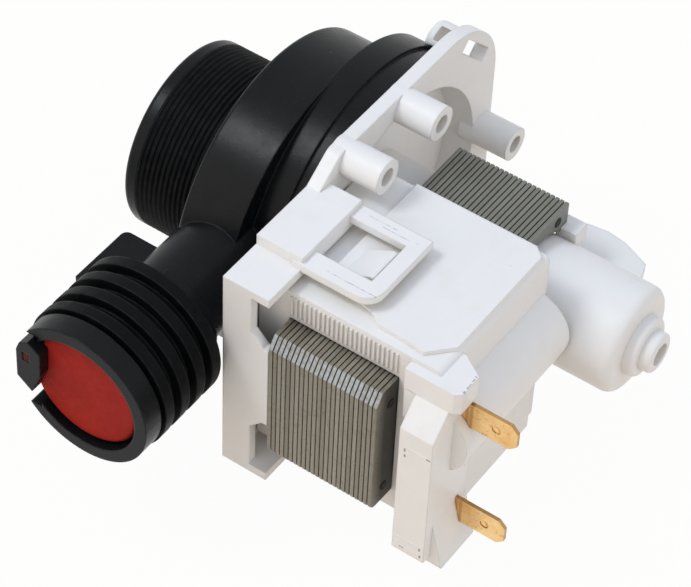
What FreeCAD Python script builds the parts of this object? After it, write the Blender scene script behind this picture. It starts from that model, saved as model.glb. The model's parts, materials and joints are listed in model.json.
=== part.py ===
import FreeCAD, Part
import math
import os

import Sketcher

# Dishwasher pump: synchronous motor with a U-shaped stator, wet end with an
# eccentric ribbed inlet collar and a flap valve in the outlet cuff.
# Frame: X runs along the rotor axis towards the motor end, Z is up, and the
# origin is where the rotor axis meets the front face of the motor flange.

SIZES = [
    # Motor flange and the open frame beside it
    ("plate_thick", 3.0, "thickness of the motor flange"),
    ("plate_margin", 0.6, "how far the drum stands past the flange above and below"),
    ("plate_side_margin", 1.1, "how far the flange stands past the drum on the +Y side"),
    ("plate_right", "=drum_one_radius + plate_side_margin", "flange edge on the +Y side"),
    ("plate_half_height", "=drum_one_radius - plate_margin", "half height of the flange"),
    ("plate_corner", 17.5, "radius of the two right-hand flange corners"),
    ("plate_slope_start", 20.25, "where the flange top starts to slope down"),
    ("plate_slope_end", 26.9, "where that slope ends"),
    ("plate_low_slope", 2.5, "how much further the lower slope runs"),
    ("frame_reach", 52.75, "distance of the frame's outer wall from the axis"),
    ("frame_half_height", 25.6, "half height of the frame"),
    ("frame_depth", 10.4, "depth of the frame along the axis"),
    ("frame_wall", 2.0, "wall of the frame"),
    ("shoulder_height", "=frame_half_height + shoulder_step", "height of the raised shoulder on the frame"),
    ("shoulder_step", 2.35, "rise of the shoulder above the frame"),
    ("shoulder_inset", 10.25, "shoulder in from the frame's outer wall"),
    ("shoulder_reach", "=frame_reach - shoulder_inset", "outer end of the shoulder"),
    ("notch_depth", 4.0, "depth of the two notches in the outer frame wall"),
    ("notch_upper_low", "=frame_half_height - notch_upper_depth", "lower edge of the upper notch"),
    ("notch_upper_depth", 14.0, "reach of the upper notch below the frame's top"),
    ("notch_lower_high", "=frame_half_height - notch_lower_depth", "upper edge of the lower notch"),
    ("notch_lower_depth", 16.35, "reach of the lower notch above the frame's bottom"),
    ("notch_chamfer", 2.88, "chamfer in the notch corners"),
    # Screw bosses on the flange
    ("boss_radius", 3.69, "radius of a screw boss"),
    ("boss_hole", 1.9, "pilot hole radius in a boss"),
    ("boss_top", 11.5, "end face of the bosses"),
    ("boss_floor", 1.0, "bottom of the pilot holes"),
    ("boss_inset", 3.35, "first boss below the flange edge"),
    ("boss_two_inset", 3.6, "second boss below the flange edge"),
    ("boss_three_inset", 3.75, "third boss in from the +Y edge"),
    ("boss_one_y", -17.05, "first boss across"),
    ("boss_one_z", "=plate_half_height - boss_inset", "first boss up"),
    ("boss_two_y", 1.1, "second boss across"),
    ("boss_two_z", "=plate_half_height - boss_two_inset", "second boss up"),
    ("boss_three_y", "=plate_right - boss_three_inset", "third boss across"),
    ("boss_three_z", 0.62, "third boss up"),
    # Corner lug with its slot
    ("lug_y", "=plate_right - lug_inset_y", "lug centre across"),
    ("lug_z", "=plate_half_height - lug_inset_z", "lug centre up"),
    ("lug_radius", 4.2, "radius of the lug post"),
    ("lug_front", 6.1, "how far the lug post stands in front of the flange"),
    ("lug_inset_y", 9.7, "lug post in from the +Y edge"),
    ("lug_inset_z", 8.3, "lug post in from the top edge"),
    ("lug_round", 1.2, "rounding of the post's front edge"),
    ("lug_wall", 1.9, "front wall of the lug post"),
    ("lug_gap", 0.35, "clearance between lug and volute"),
    ("slot_shift_y", 1.3, "slot centre beside the post's"),
    ("slot_shift_z", 0.6, "slot centre above the post's"),
    ("lug_slot_length", 11.2, "length of the slot in the lug"),
    ("lug_slot_width", 3.1, "width of the slot in the lug"),
    # Latch loop over the coil housing
    ("latch_top", "=frame_half_height + latch_rise", "top face of the latch loop"),
    ("latch_rise", 1.3, "rise of the latch loop above the frame"),
    ("latch_inset", 9.65, "latch loop in from the frame's outer wall"),
    ("latch_thick", 1.75, "thickness of the latch loop"),
    ("latch_end", 26.4, "far end of the latch loop"),
    ("latch_bar", 3.38, "width of the cross bar"),
    ("latch_outer", "=frame_reach - latch_inset", "outer side of the loop"),
    ("latch_inner", 23.6, "inner side of the loop"),
    ("latch_arm_outer", 4.6, "width of the outer arm"),
    ("latch_arm_inner", 3.88, "width of the inner arm"),
    ("latch_corner", 3.75, "radius of the loop's outer corner"),
    # Dish, spigot and rotor can
    ("dish_radius", "=spigot_radius - spigot_wall", "radius of the dish behind the flange"),
    ("dish_depth", 3.75, "depth of the dish floor in front of the flange face"),
    ("dish_floor", 3.25, "thickness of the dish floor"),
    ("spigot_wall", 2.2, "wall of the spigot"),
    ("spigot_gap", 0.3, "clearance round the spigot"),
    ("spigot_lip", 0.75, "land in front of the spigot's seal groove"),
    ("spigot_radius",
     "=drum_one_radius - volute_wall - spigot_gap",
     "radius of the spigot that enters the volute"),
    ("can_radius", "=core_bore - can_core_gap", "outer radius of the rotor can"),
    ("can_bore", "=can_radius - can_wall", "bore of the rotor can"),
    ("can_wall", 1.2, "wall of the rotor can"),
    ("can_end", 59.5, "end face of the rotor can"),
    ("can_end_wall", 3.37, "end wall of the rotor can"),
    ("can_rounding", 2.25, "rounding of the can's end edge"),
    ("cap_radius",
     "=cushion_radius + cushion_gap + cap_wall",
     "radius of the bearing boss on the can's end"),
    ("cap_end", "=can_end + cap_length", "end face of the bearing boss"),
    ("cap_length", 2.4, "length of the bearing boss"),
    ("cap_wall", 1.15, "wall of the bearing boss"),
    ("tube_radius", 4.25, "radius of the short end tube"),
    ("tube_end", "=cap_end + tube_length", "end of the short tube"),
    ("tube_length", 2.5, "length of the short tube"),
    ("tube_hole", 2.38, "blind hole in the tube"),
    ("tube_floor", 1.5, "wall left between that hole and the rear bearing"),
    ("fin_thick", 2.0, "thickness of the fin on the can"),
    ("fin_start", 33.6, "front end of the fin"),
    ("fin_end", "=can_end - fin_stop", "rear end of the fin"),
    ("fin_stop", 8.3, "distance from the fin's end to the can's end"),
    ("fin_front_drop", 3.6, "drop of the fin's front corner"),
    ("fin_rear_drop", 5.6, "drop of the fin's rear corner"),
    ("fin_height", 20.9, "top of the fin"),
    ("hook_length", 4.5, "length of the hook that holds the stator"),
    ("hook_width", 4.0, "width of that hook"),
    ("hook_height",
     "=core_limb - rivet_pole_inset - rivet_head + hook_proud - hook_rivet_gap",
     "height of that hook"),
    ("hook_rivet_gap", 0.4, "gap between the hook and a pole rivet's head"),
    ("hook_proud", 0.75, "how far it stands out past the can"),
    # Volute
    ("volute_wall", 3.0, "wall of the volute body"),
    ("drum_one_radius", 33.3, "outer radius of the drum round the spigot"),
    ("drum_tail", 4.3, "length of that drum's stepped rear end"),
    ("drum_tail_step", 0.6, "step of that rear end"),
    ("drum_one_depth", 10.4, "depth of that drum"),
    ("drum_two_radius", "=drum_one_radius - drum_step", "outer radius of the front drum"),
    ("drum_two_front", 22.75, "front face of the front drum"),
    ("drum_step", 0.35, "how much smaller the front drum is"),
    ("drum_edge", 1.0, "rounding of the front drum's edge"),
    ("drum_offset", 6.0, "sideways offset of the front drum and the inlet collar"),
    ("front_wall", 3.12, "front wall of the pumping chamber"),
    ("middle_wall", 2.5, "wall between the two drums"),
    ("eye_radius", 11.0, "radius of the impeller eye"),
    ("throat_radius", "=impeller_radius + throat_gap", "opening between the two drums"),
    ("throat_gap", 2.85, "clearance of the impeller in the throat"),
    ("collar_radius", 20.45, "outer radius of the inlet collar"),
    ("collar_end", 44.5, "mouth of the inlet collar"),
    ("collar_wall", 3.19, "wall of the inlet collar"),
    ("collar_lip", 3.0, "length of the rigid lip at the mouth"),
    ("sleeve_wall", 1.5, "thickness of the rubber sleeve on the collar"),
    ("seal_gap", 0.05, "clearance at a seal's seat"),
    ("collar_lip_round", 1.12, "rounding of the lip"),
    ("thread_pitch", 1.17, "spacing of the fine ribs on the inlet seal"),
    ("thread_depth", 0.56, "depth of the fine ribs on the inlet seal"),
    # Outlet pipe and cuff
    ("pipe_x", 14.4, "outlet axis in front of the flange"),
    ("pipe_z", 5.0, "outlet axis above the rotor axis"),
    ("pipe_radius", 10.05, "outer radius of the outlet pipe"),
    ("pipe_bore", 7.75, "bore of the outlet pipe"),
    ("pipe_start", 27.0, "where the pipe grows out of the volute"),
    ("pipe_nose", 3.0, "rounding of the pipe's start"),
    ("sleeve_radius", 11.6, "radius of the short sleeve behind the cuff"),
    ("sleeve_start", "=cuff_start - sleeve_length", "start of that sleeve"),
    ("sleeve_length", 4.5, "length of the half sleeve behind the cuff"),
    ("cuff_start", 55.25, "start of the ribbed cuff"),
    ("cuff_root", "=rib_radius - rib_height", "cuff radius between the ribs"),
    ("rib_height", 2.3, "height of the cuff ribs"),
    ("rib_radius", 15.9, "radius of the cuff ribs"),
    ("rib_width", 2.38, "width of a cuff rib"),
    ("rib_first", "=cuff_start + rib_width / 2 + end_gap", "centre of the first rib"),
    ("rib_pitch", 4.7, "spacing of the cuff ribs"),
    ("rim_radius", "=rib_radius - rim_step", "outer radius of the rim"),
    ("rim_step", 0.4, "how much smaller the rim is than the ribs"),
    ("rim_start", "=rib_first + 3 * rib_pitch + rib_width / 2 + last_land", "where the rim starts"),
    ("last_land", 1.0, "land between the last rib and the rim"),
    ("rim_end", "=rim_start + rim_length", "end face of the rim"),
    ("rim_length", 4.6, "length of the rim"),
    ("rim_bore", "=rim_radius - rim_wall", "bore of the rim round the flap"),
    ("rim_wall", 2.75, "wall of the rim"),
    ("seat_radius", "=flap_radius - flap_lap", "bore of the flap seat"),
    ("flap_lap", 1.45, "overlap of the flap on its seat"),
    ("seat_depth", 1.9, "depth of the flared seat"),
    ("seat_lip", 1.0, "height of the seating ring"),
    ("seat_width", 1.12, "width of the seating ring"),
    # Wing plate and hinge clip
    ("wing_reach", "=pipe_x + wing_width", "outer edge of the wing plate"),
    ("wing_inner", 39.9, "wing plate edge next to the collar"),
    ("wing_thick", 2.5, "thickness of the wing plate"),
    ("wing_width", 18.7, "reach of the wing plate from the outlet axis"),
    ("wing_corner", 1.5, "rounding of the wing's corner"),
    ("clip_out", "=pipe_x + clip_far", "outer side of the flap clip"),
    ("clip_far", 13.85, "the same from the outlet axis"),
    ("clip_in", "=pipe_x + clip_near", "inner side of the flap clip"),
    ("clip_near", 8.1, "the same from the outlet axis"),
    ("clip_low", "=pipe_z - clip_down", "lower end of the flap clip"),
    ("clip_down", 4.75, "the same from the outlet axis"),
    ("clip_high", "=pipe_z + clip_up", "upper end of the flap clip"),
    ("clip_up", 8.6, "the same from the outlet axis"),
    ("clip_front", "=rim_end + clip_proud", "front of the flap clip"),
    ("clip_proud", 1.25, "how far the clip stands in front of the rim"),
    ("clip_root", 0.3, "depth of the clip's root in the rim"),
    ("rim_gap", 9.75, "half height of the gap in the rim round the clip"),
    ("rim_gap_x", "=pipe_x + rim_gap_side", "how far the gap reaches across the rim"),
    ("rim_gap_side", 9.35, "the same from the outlet axis"),
    ("rim_gap_depth", 4.25, "depth of the gap in the rim"),
    # Flap valve
    ("flap_radius", "=rim_bore - flap_side_gap", "radius of the flap"),
    ("flap_side_gap", 0.8, "clearance round the flap"),
    ("flap_thick", 1.25, "thickness of the flap"),
    ("flap_back", "=rim_start + flap_set", "rear face of the flap"),
    ("flap_set", 2.0, "how far the flap lies inside the rim"),
    ("flap_hinge_x", "=pipe_x + flap_hinge_side", "line along which the flap bends"),
    ("flap_hinge_side", 7.2, "the same from the outlet axis"),
    ("flap_fold_gap", 0.1, "gap at the fold and round the clamped root"),
    ("nib_width", 2.25, "height of the root's nib in the clip"),
    ("nib_length", 1.5, "width of the root's nib in the clip"),
    ("nib_x", "=pipe_x + nib_side", "nib centre in front of the flange"),
    ("nib_side", 11.5, "the same from the outlet axis"),
    ("nib_z", "=pipe_z + nib_up", "nib centre above the rotor axis"),
    ("nib_up", 4.1, "the same from the outlet axis"),
    # Stator core and rivets
    ("core_half_height",
     "=housing_top - housing_skin - winding_thick - winding_gap - bobbin_wall - core_gap",
     "half height of the core"),
    ("core_limb",
     "=core_half_height - core_gap - bobbin_wall - winding_thick - winding_gap - coil_half_gap",
     "height of one limb"),
    ("core_yoke", 9.4, "width of the yoke"),
    ("core_bore", "=core_half_height - pole_iron", "bore of the core"),
    ("pole_iron", 3.12, "iron between the bore and the core's top"),
    ("can_core_gap", 0.9, "gap between the can and the core"),
    ("plate_count", 24, "plates in the core"),
    ("plate_gauge", 1.0, "thickness of one plate"),
    ("plate_pitch", 1.015, "spacing of the plates"),
    ("core_chamfer_y", 1.82, "corner chamfer of the core across"),
    ("core_chamfer_z", 2.62, "corner chamfer of the core up"),
    ("core_corner", 2.25, "radius of the core's lower corner"),
    ("rivet_radius", 1.38, "radius of a core rivet"),
    ("rivet_head", 2.0, "radius of a rivet head"),
    ("rivet_head_height", 0.44, "height of a rivet head"),
    ("rivet_pole_y", 6.25, "pole rivets across"),
    ("rivet_pole_z", "=core_half_height - rivet_pole_inset", "pole rivets up"),
    ("rivet_pole_inset", 2.7, "pole rivets below the core's top"),
    ("rivet_yoke_y", "=frame_reach - rivet_yoke_inset", "yoke rivets across"),
    ("rivet_yoke_inset", 4.5, "yoke rivets in from the core's outer face"),
    ("rivet_yoke_z", "=core_half_height - rivet_yoke_drop", "yoke rivets up"),
    ("rivet_yoke_drop", 4.82, "yoke rivets below the core's top"),
    # Coils
    ("core_gap", 0.1, "clearance between the core and what it passes through"),
    ("bobbin_wall", 0.88, "wall of a coil bobbin"),
    ("bobbin_flange", 1.0, "flange of a coil bobbin"),
    ("winding_thick", 4.5, "build of a winding"),
    ("bobbin_outer", "=frame_reach - core_yoke - bobbin_end_gap", "outer end of the bobbins"),
    ("bobbin_end_gap", 0.35, "gap between a bobbin and the yoke"),
    ("coil_half_gap", 1.04, "half the gap between the two windings"),
    ("bobbin_inner", "=can_radius + bobbin_can_gap", "inner end of the bobbins"),
    ("bobbin_can_gap", 0.6, "gap between a bobbin and the can"),
    ("winding_gap", 0.05, "clearance round a winding"),
    ("winding_corner", 2.5, "corner radius of a winding"),
    # Coil housing
    ("housing_front",
     "=frame_depth - core_gap - bobbin_wall - winding_thick - winding_gap - front_skin",
     "front face of the coil housing"),
    ("front_skin", 1.5, "plastic in front of the windings"),
    ("housing_rear",
     "=frame_depth + plate_count * plate_pitch + core_gap + bobbin_wall + winding_thick"
     " + winding_gap + rear_skin",
     "rear face of the coil housing"),
    ("rear_skin", 3.45, "plastic behind the windings"),
    ("housing_outer", "=frame_reach - frame_wall - housing_side_gap", "outer flank of the coil housing"),
    ("housing_side_gap", 4.75, "gap between the flank and the frame wall"),
    ("housing_inner", 10.0, "inner end of the coil housing"),
    ("housing_top", "=frame_half_height - frame_wall - housing_top_gap", "top of the coil housing"),
    ("housing_top_gap", 1.1, "gap above the housing in the frame"),
    ("housing_skin", 1.65, "plastic above the windings"),
    ("housing_bottom", "=frame_half_height - frame_wall - housing_low_gap", "bottom of the coil housing"),
    ("housing_low_gap", 1.6, "gap below the housing in the frame"),
    ("plateau_top", "=housing_top + plateau_rise", "top of the raised plateau"),
    ("plateau_rise", 0.9, "height of the plateau"),
    ("plateau_front", 13.75, "front edge of the plateau"),
    ("bulge_x", "=housing_rear - bulge_inset", "centre of the rear bulge"),
    ("bulge_inset", 2.15, "bulge centre in from the rear face"),
    ("bulge_z", 4.6, "height of the rear bulge"),
    ("bulge_radius", 8.75, "radius of the rear bulge"),
    ("bulge_end", 10.9, "inner end of the rear bulge"),
    ("back_rear", "=housing_rear + back_step", "rear face of the lower housing"),
    ("back_step", 1.25, "how far the lower housing stands out behind"),
    ("back_inner", 13.5, "inner end of the lower housing"),
    ("edge_round", 1.5, "rounding of the housing edges"),
    ("can_gap", 0.45, "clearance between the can and the coil housing"),
    ("catch_start", 16.0, "start of the catch ramp"),
    ("catch_outer", "=latch_outer - latch_arm_outer - catch_outer_gap", "outer side of the catch"),
    ("catch_outer_gap", 1.0, "gap between the catch and the loop's outer arm"),
    ("catch_inner", "=latch_inner + latch_arm_inner + catch_inner_gap", "inner side of the catch"),
    ("catch_inner_gap", 2.0, "gap between the catch and the loop's inner arm"),
    ("catch_top", "=latch_top - catch_drop", "top of the catch"),
    ("catch_drop", 0.5, "catch top below the loop's top"),
    ("catch_gap", 0.35, "gap between the catch and the cross bar"),
    ("catch_land", 0.9, "flat on top of the catch"),
    ("flank_rib_depth", 0.38, "depth of the fine ribs on the upper flank"),
    ("flank_rib_width", 0.5, "width of the fine ribs on the upper flank"),
    ("flank_rib_low", "=flank_rib_high - flank_rib_height", "lower end of the fine ribs"),
    ("flank_rib_height", 4.9, "height of the fine ribs"),
    ("flank_rib_high", "=housing_top - flank_rib_drop", "upper end of the fine ribs"),
    ("flank_rib_drop", 1.1, "fine ribs below the housing's top"),
    # Terminal block and tabs
    ("block_low_front", "=housing_rear - block_low_root", "front side of the lower terminal block"),
    ("block_low_root", 3.85, "root of the lower terminal block"),
    ("block_low_step", 3.35, "how far it stands out behind"),
    ("block_drop", 1.25, "how far it hangs below the housing"),
    ("block_low_rear", "=housing_rear + block_low_step", "rear side of the lower terminal block"),
    ("block_low_bottom", "=housing_bottom + block_drop", "bottom of the lower terminal block"),
    ("block_low_top", "=housing_bottom - block_low_height", "top of the lower terminal block"),
    ("block_low_height", 10.75, "its top above the housing's bottom"),
    ("block_high_front", "=housing_rear - block_high_root", "front side of the upper terminal block"),
    ("block_high_root", 6.5, "root of the upper terminal block"),
    ("block_high_step", 4.15, "how far it stands out behind"),
    ("block_high_inset", 4.5, "its outer face in from the frame's"),
    ("block_high_bulge", 1.25, "step of its rear face"),
    ("block_high_rear", "=housing_rear + block_high_step", "rear side of the upper terminal block"),
    ("block_high_reach", "=frame_reach - block_high_inset", "outer face of the upper terminal block"),
    ("block_high_top", "=housing_top - block_high_drop", "top of the upper terminal block"),
    ("block_high_drop", 0.9, "its top below the housing's"),
    ("scoop_top", "=housing_top - scoop_drop", "top of the slanted scoop"),
    ("scoop_drop", 6.25, "the scoop's top below the housing's"),
    ("foot_rear", "=block_low_rear + foot_slope", "rear edge of the wedge under the lower terminal"),
    ("foot_slope", 2.7, "how far the wedge slopes out"),
    ("foot_drop", 3.25, "how far the wedge hangs below the housing"),
    ("foot_inset", 2.25, "outer end of the wedge in from the frame's face"),
    ("foot_width", 11.1, "width of the wedge"),
    ("foot_crease", "=foot_bottom - foot_height", "where the wedge starts below the axis"),
    ("foot_height", 11.0, "height of the wedge"),
    ("foot_bottom", "=housing_bottom + foot_drop", "bottom of the wedge"),
    ("foot_outer", "=frame_reach - foot_inset", "outer end of the wedge"),
    ("foot_inner", "=foot_outer - foot_width", "inner end of the wedge and of the terminal block"),
    ("tab_width", 6.3, "width of a spade terminal"),
    ("tab_thick", 0.8, "thickness of a spade terminal"),
    ("tab_seat", 6.0, "depth that a terminal is held in the block"),
    ("tab_tip", 11.2, "length of a terminal outside the block"),
    ("tab_chamfer", 1.5, "chamfer at a terminal's tip"),
    ("tab_hole", 0.95, "locking hole radius of a terminal"),
    ("tab_hole_back", 4.5, "locking hole behind the tip"),
    ("tab_gap", 0.05, "clearance round a seated terminal"),
    ("tab_upper_y", "=frame_reach - tab_upper_inset", "upper terminal across"),
    ("tab_upper_inset", 9.5, "upper terminal in from the frame's outer face"),
    ("tab_upper_z", "=housing_top - tab_upper_drop", "upper terminal up"),
    ("tab_upper_drop", 10.2, "upper terminal below the housing's top"),
    ("tab_lower_y", "=frame_reach - tab_lower_inset", "lower terminal across"),
    ("tab_lower_inset", 10.25, "lower terminal in from the frame's outer face"),
    ("tab_lower_z", "=housing_bottom - tab_lower_rise", "lower terminal below the axis"),
    ("tab_lower_rise", 5.6, "lower terminal above the housing's bottom"),
    # Rotor
    ("shaft_radius", 2.0, "radius of the rotor shaft"),
    ("shaft_front", "=impeller_front - impeller_cap_thick - shaft_stop", "front end of the shaft"),
    ("shaft_stop", 0.5, "shaft end behind the impeller cap"),
    ("shaft_rear", "=rear_bearing_x + bearing_length - shaft_back", "rear end of the shaft"),
    ("shaft_back", 0.65, "shaft end inside the rear bearing"),
    ("shaft_gap", 0.05, "running clearance on the shaft"),
    ("press_gap", 0.02, "clearance of the pressed pieces on the shaft"),
    ("magnet_radius", "=can_bore - rotor_gap", "outer radius of the rotor magnet"),
    ("rotor_gap", 0.8, "gap between the magnet and the can"),
    ("magnet_start", "=frame_depth + magnet_inset", "front end of the magnet"),
    ("magnet_inset", 0.35, "how much shorter the magnet is at each end than the core"),
    ("magnet_length", "=plate_count * plate_pitch - 2 * magnet_inset", "length of the magnet"),
    ("carrier_radius", 4.25, "radius of the magnet carrier"),
    ("carrier_flange", "=magnet_radius - carrier_step", "flange radius of the magnet carrier"),
    ("carrier_step", 1.3, "flange inside the magnet's radius"),
    ("carrier_flange_thick", 1.5, "thickness of the carrier's flange"),
    ("carrier_neck", 3.5, "radius of the carrier's front neck"),
    ("carrier_neck_rear", 3.25, "radius of the carrier's rear neck"),
    ("carrier_tail", 3.75, "carrier behind the magnet"),
    ("washer_radius", 3.88, "radius of a thrust washer"),
    ("washer_thick", 1.0, "thickness of a thrust washer"),
    ("washer_gap", 0.05, "end play at a thrust washer"),
    ("end_gap", 0.1, "end clearance of seated pieces"),
    ("bearing_radius", 3.9, "outer radius of a bearing"),
    ("bearing_length", 5.5, "length of a bearing"),
    ("cushion_radius", 5.1, "outer radius of a bearing cushion"),
    ("cushion_gap", 0.05, "clearance round a cushion"),
    ("rear_bearing_x", "=can_end - bearing_inset", "front end of the rear bearing"),
    ("bearing_inset", 5.25, "front end of that bearing in from the can's end face"),
    # Bearing cover
    ("cover_radius", 14.5, "radius of the bearing cover's flange"),
    ("cover_flange", 1.38, "thickness of that flange"),
    ("cover_gap", 0.1, "clearance of the cover in the can"),
    ("cover_end", 6.5, "rear end of the cover"),
    ("cover_floor", 0.38, "where the bearing seat in the cover starts"),
    # Sealing rings
    ("seal_radius", 0.94, "section radius of the volute seal"),
    ("seal_groove", 2.0, "groove width of the volute seal"),
    ("seal_groove_depth", 1.7, "groove depth of the volute seal"),
    ("cover_seal_radius", 0.75, "section radius of the cover seal"),
    ("cover_groove", 1.62, "groove width of the cover seal"),
    ("cover_groove_depth", 1.5, "groove depth of the cover seal"),
    ("cover_groove_start", -3.25, "front side of the cover seal's groove"),
    # Impeller
    ("impeller_radius",
     "=drum_two_radius - volute_wall - drum_offset - impeller_side_gap",
     "radius of the impeller"),
    ("impeller_side_gap", 2.8, "clearance of the impeller at the near wall"),
    ("impeller_back", 8.6, "rear face of the impeller disc"),
    ("impeller_disc", 1.38, "thickness of the impeller disc"),
    ("impeller_front", 18.25, "front edge of the impeller blades"),
    ("blade_count", 5, "blades"),
    ("blade_thick", 2.0, "thickness of a blade"),
    ("blade_drop", 1.0, "blades behind the hub's front"),
    ("blade_inset", 0.4, "blade ends in from the disc's edge"),
    ("hub_radius", 7.75, "radius of the impeller hub"),
    ("hub_bore", 5.75, "bore of the impeller hub"),
    ("hub_floor", 1.5, "rear wall of the impeller hub"),
    ("hub_foot", 1.25, "flare at the hub's foot"),
    ("hub_taper", 0.5, "taper of the hub"),
    ("dog_root", 3.25, "radius of the drive dog's sleeve"),
    ("dog_gap", 0.2, "clearance between dog and impeller hub"),
    ("dog_sector", 50.0, "angle of the drive dog and of the stop"),
    ("impeller_cap_thick", 2.0, "thickness of the impeller cap"),
]

doc = FreeCAD.newDocument("dishwasher_pump")
sheet = doc.addObject("Spreadsheet::Sheet", "dim")
for row, (alias, value, meaning) in enumerate(SIZES, start=1):
    sheet.set("A%d" % row, meaning)
    sheet.setAlias("B%d" % row, alias)
for row, (alias, value, meaning) in enumerate(SIZES, start=1):
    sheet.set("B%d" % row, str(value))
doc.recompute()

DIM = {alias: float(sheet.get(alias)) for alias, value, meaning in SIZES}


def bound(text):
    """Turn a formula on size names into a formula on the sheet's cells."""
    words = []
    word = ""
    for letter in str(text) + " ":
        if letter.isalnum() or letter == "_" or (letter == "." and word[:1].isdigit()):
            word += letter
            continue
        words.append("dim." + word if word in DIM else word)
        words.append(letter)
        word = ""
    return "".join(words).strip()


def number(text):
    """Value of a formula on size names."""
    result = doc.getObject("dim").evalExpression(bound(text))
    return float(getattr(result, "Value", result))


def tie(thing, path, text):
    """Bind a property of an object to a formula on size names."""
    thing.setExpression(path, bound(text))


TURNS = {
    "X": FreeCAD.Rotation(FreeCAD.Vector(0, 1, 0), 90),
    "Y": FreeCAD.Rotation(FreeCAD.Vector(1, 0, 0), -90),
    "-Y": FreeCAD.Rotation(FreeCAD.Vector(1, 0, 0), 90),
    "Z": FreeCAD.Rotation(),
}


def put(thing, spot, turn=None):
    """Place an object at three formulas."""
    thing.Placement = FreeCAD.Placement(FreeCAD.Vector(), turn or FreeCAD.Rotation())
    for letter, text in zip("xyz", spot):
        tie(thing, "Placement.Base." + letter, text)
    return thing


def rod(name, axis, spot, radius, length, angle=None):
    """Cylinder from a spot along an axis."""
    thing = doc.addObject("Part::Cylinder", name)
    put(thing, spot, TURNS[axis])
    tie(thing, "Radius", radius)
    tie(thing, "Height", length)
    if angle:
        tie(thing, "Angle", angle)
    return thing


def block(name, low, high):
    """Box between two corners."""
    thing = doc.addObject("Part::Box", name)
    put(thing, low)
    for side, a, b in zip(("Length", "Width", "Height"), low, high):
        tie(thing, side, "(%s) - (%s)" % (b, a))
    return thing


def join(name, pieces):
    """Union of pieces."""
    thing = doc.addObject("Part::MultiFuse", name)
    thing.Shapes = pieces
    thing.Refine = True
    return thing


def cut(name, base, tools):
    """Base less one tool or several."""
    thing = doc.addObject("Part::Cut", name)
    thing.Base = base
    if len(tools) == 1:
        thing.Tool = tools[0]
    else:
        group = doc.addObject("Part::Compound", name + "_tools")
        group.Links = tools
        thing.Tool = group
    thing.Refine = True
    return thing


def origin_feature(body, role):
    """Plane or axis of a body's own origin."""
    for feature in body.Origin.OriginFeatures:
        if feature.Role == role:
            return feature
    raise ValueError(role)


def outline(body, name, plane, corners, offset="0"):
    """Closed sketch through corners whose places are formulas."""
    sketch = body.newObject("Sketcher::SketchObject", name)
    sketch.AttachmentSupport = [(origin_feature(body, plane), "")]
    sketch.MapMode = "FlatFace"
    tie(sketch, "AttachmentOffset.Base.z", offset)
    points = [FreeCAD.Vector(number(u), number(v), 0) for u, v in corners]
    count = len(points)
    for index in range(count):
        sketch.addGeometry(Part.LineSegment(points[index], points[(index + 1) % count]), False)
    for index in range(count):
        sketch.addConstraint(Sketcher.Constraint("Coincident", index, 2, (index + 1) % count, 1))
    for index, (u, v) in enumerate(corners):
        for kind, text, value in (("DistanceX", u, points[index].x), ("DistanceY", v, points[index].y)):
            which = sketch.addConstraint(Sketcher.Constraint(kind, -1, 1, index, 1, value))
            tie(sketch, "Constraints[%d]" % which, text)
    return sketch


def ring_sketch(body, name, plane, centre, radii, offset="0"):
    """Sketch of circles round one centre."""
    sketch = body.newObject("Sketcher::SketchObject", name)
    sketch.AttachmentSupport = [(origin_feature(body, plane), "")]
    sketch.MapMode = "FlatFace"
    tie(sketch, "AttachmentOffset.Base.z", offset)
    middle = FreeCAD.Vector(number(centre[0]), number(centre[1]), 0)
    for index, text in enumerate(radii):
        circle = Part.Circle(middle, FreeCAD.Vector(0, 0, 1), number(text))
        sketch.addGeometry(circle, False)
        which = sketch.addConstraint(Sketcher.Constraint("Radius", index, number(text)))
        tie(sketch, "Constraints[%d]" % which, text)
        for kind, place, value in (("DistanceX", centre[0], middle.x), ("DistanceY", centre[1], middle.y)):
            which = sketch.addConstraint(Sketcher.Constraint(kind, -1, 1, index, 3, value))
            tie(sketch, "Constraints[%d]" % which, place)
    return sketch


def new_body(name):
    return doc.addObject("PartDesign::Body", name)


def pad(body, sketch, length, reverse=False, name=None):
    """Pad of a sketch; length is a formula."""
    feature = body.newObject("PartDesign::Pad", name or sketch.Name + "_pad")
    feature.Profile = sketch
    tie(feature, "Length", length)
    feature.Reversed = reverse
    doc.recompute()
    return feature


def pocket(body, sketch, length, reverse=False, name=None):
    """Pocket of a sketch, which has to take material away."""
    before = body.Shape.Volume
    feature = body.newObject("PartDesign::Pocket", name or sketch.Name + "_pocket")
    feature.Profile = sketch
    tie(feature, "Length", length)
    feature.Reversed = reverse
    doc.recompute()
    if body.Shape.Volume > before - 1e-6:
        raise ValueError("the pocket %s takes nothing away" % feature.Name)
    return feature


def turned(name, corners):
    """Body turned about its own X axis from corners given along and out."""
    body = new_body(name)
    sketch = outline(body, name + "_profile", "XY_Plane", corners)
    feature = body.newObject("PartDesign::Revolution", name + "_turn")
    feature.Profile = sketch
    feature.ReferenceAxis = (origin_feature(body, "X_Axis"), [""])
    feature.Angle = 360
    doc.recompute()
    return body


def edge_names(shape, test):
    """Names of a shape's edges that pass a test."""
    return ["Edge%d" % (i + 1) for i, edge in enumerate(shape.Edges) if test(edge)]


def soften(body, radius, test, name, kind="PartDesign::Fillet"):
    """Fillet or chamfer the edges of a body's tip that pass a test."""
    base = body.Tip
    names = edge_names(base.Shape, test)
    if not names:
        raise ValueError("no edge found for " + name)
    feature = body.newObject(kind, name)
    feature.Base = (base, names)
    tie(feature, "Radius" if kind.endswith("Fillet") else "Size", radius)
    doc.recompute()
    return feature


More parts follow.
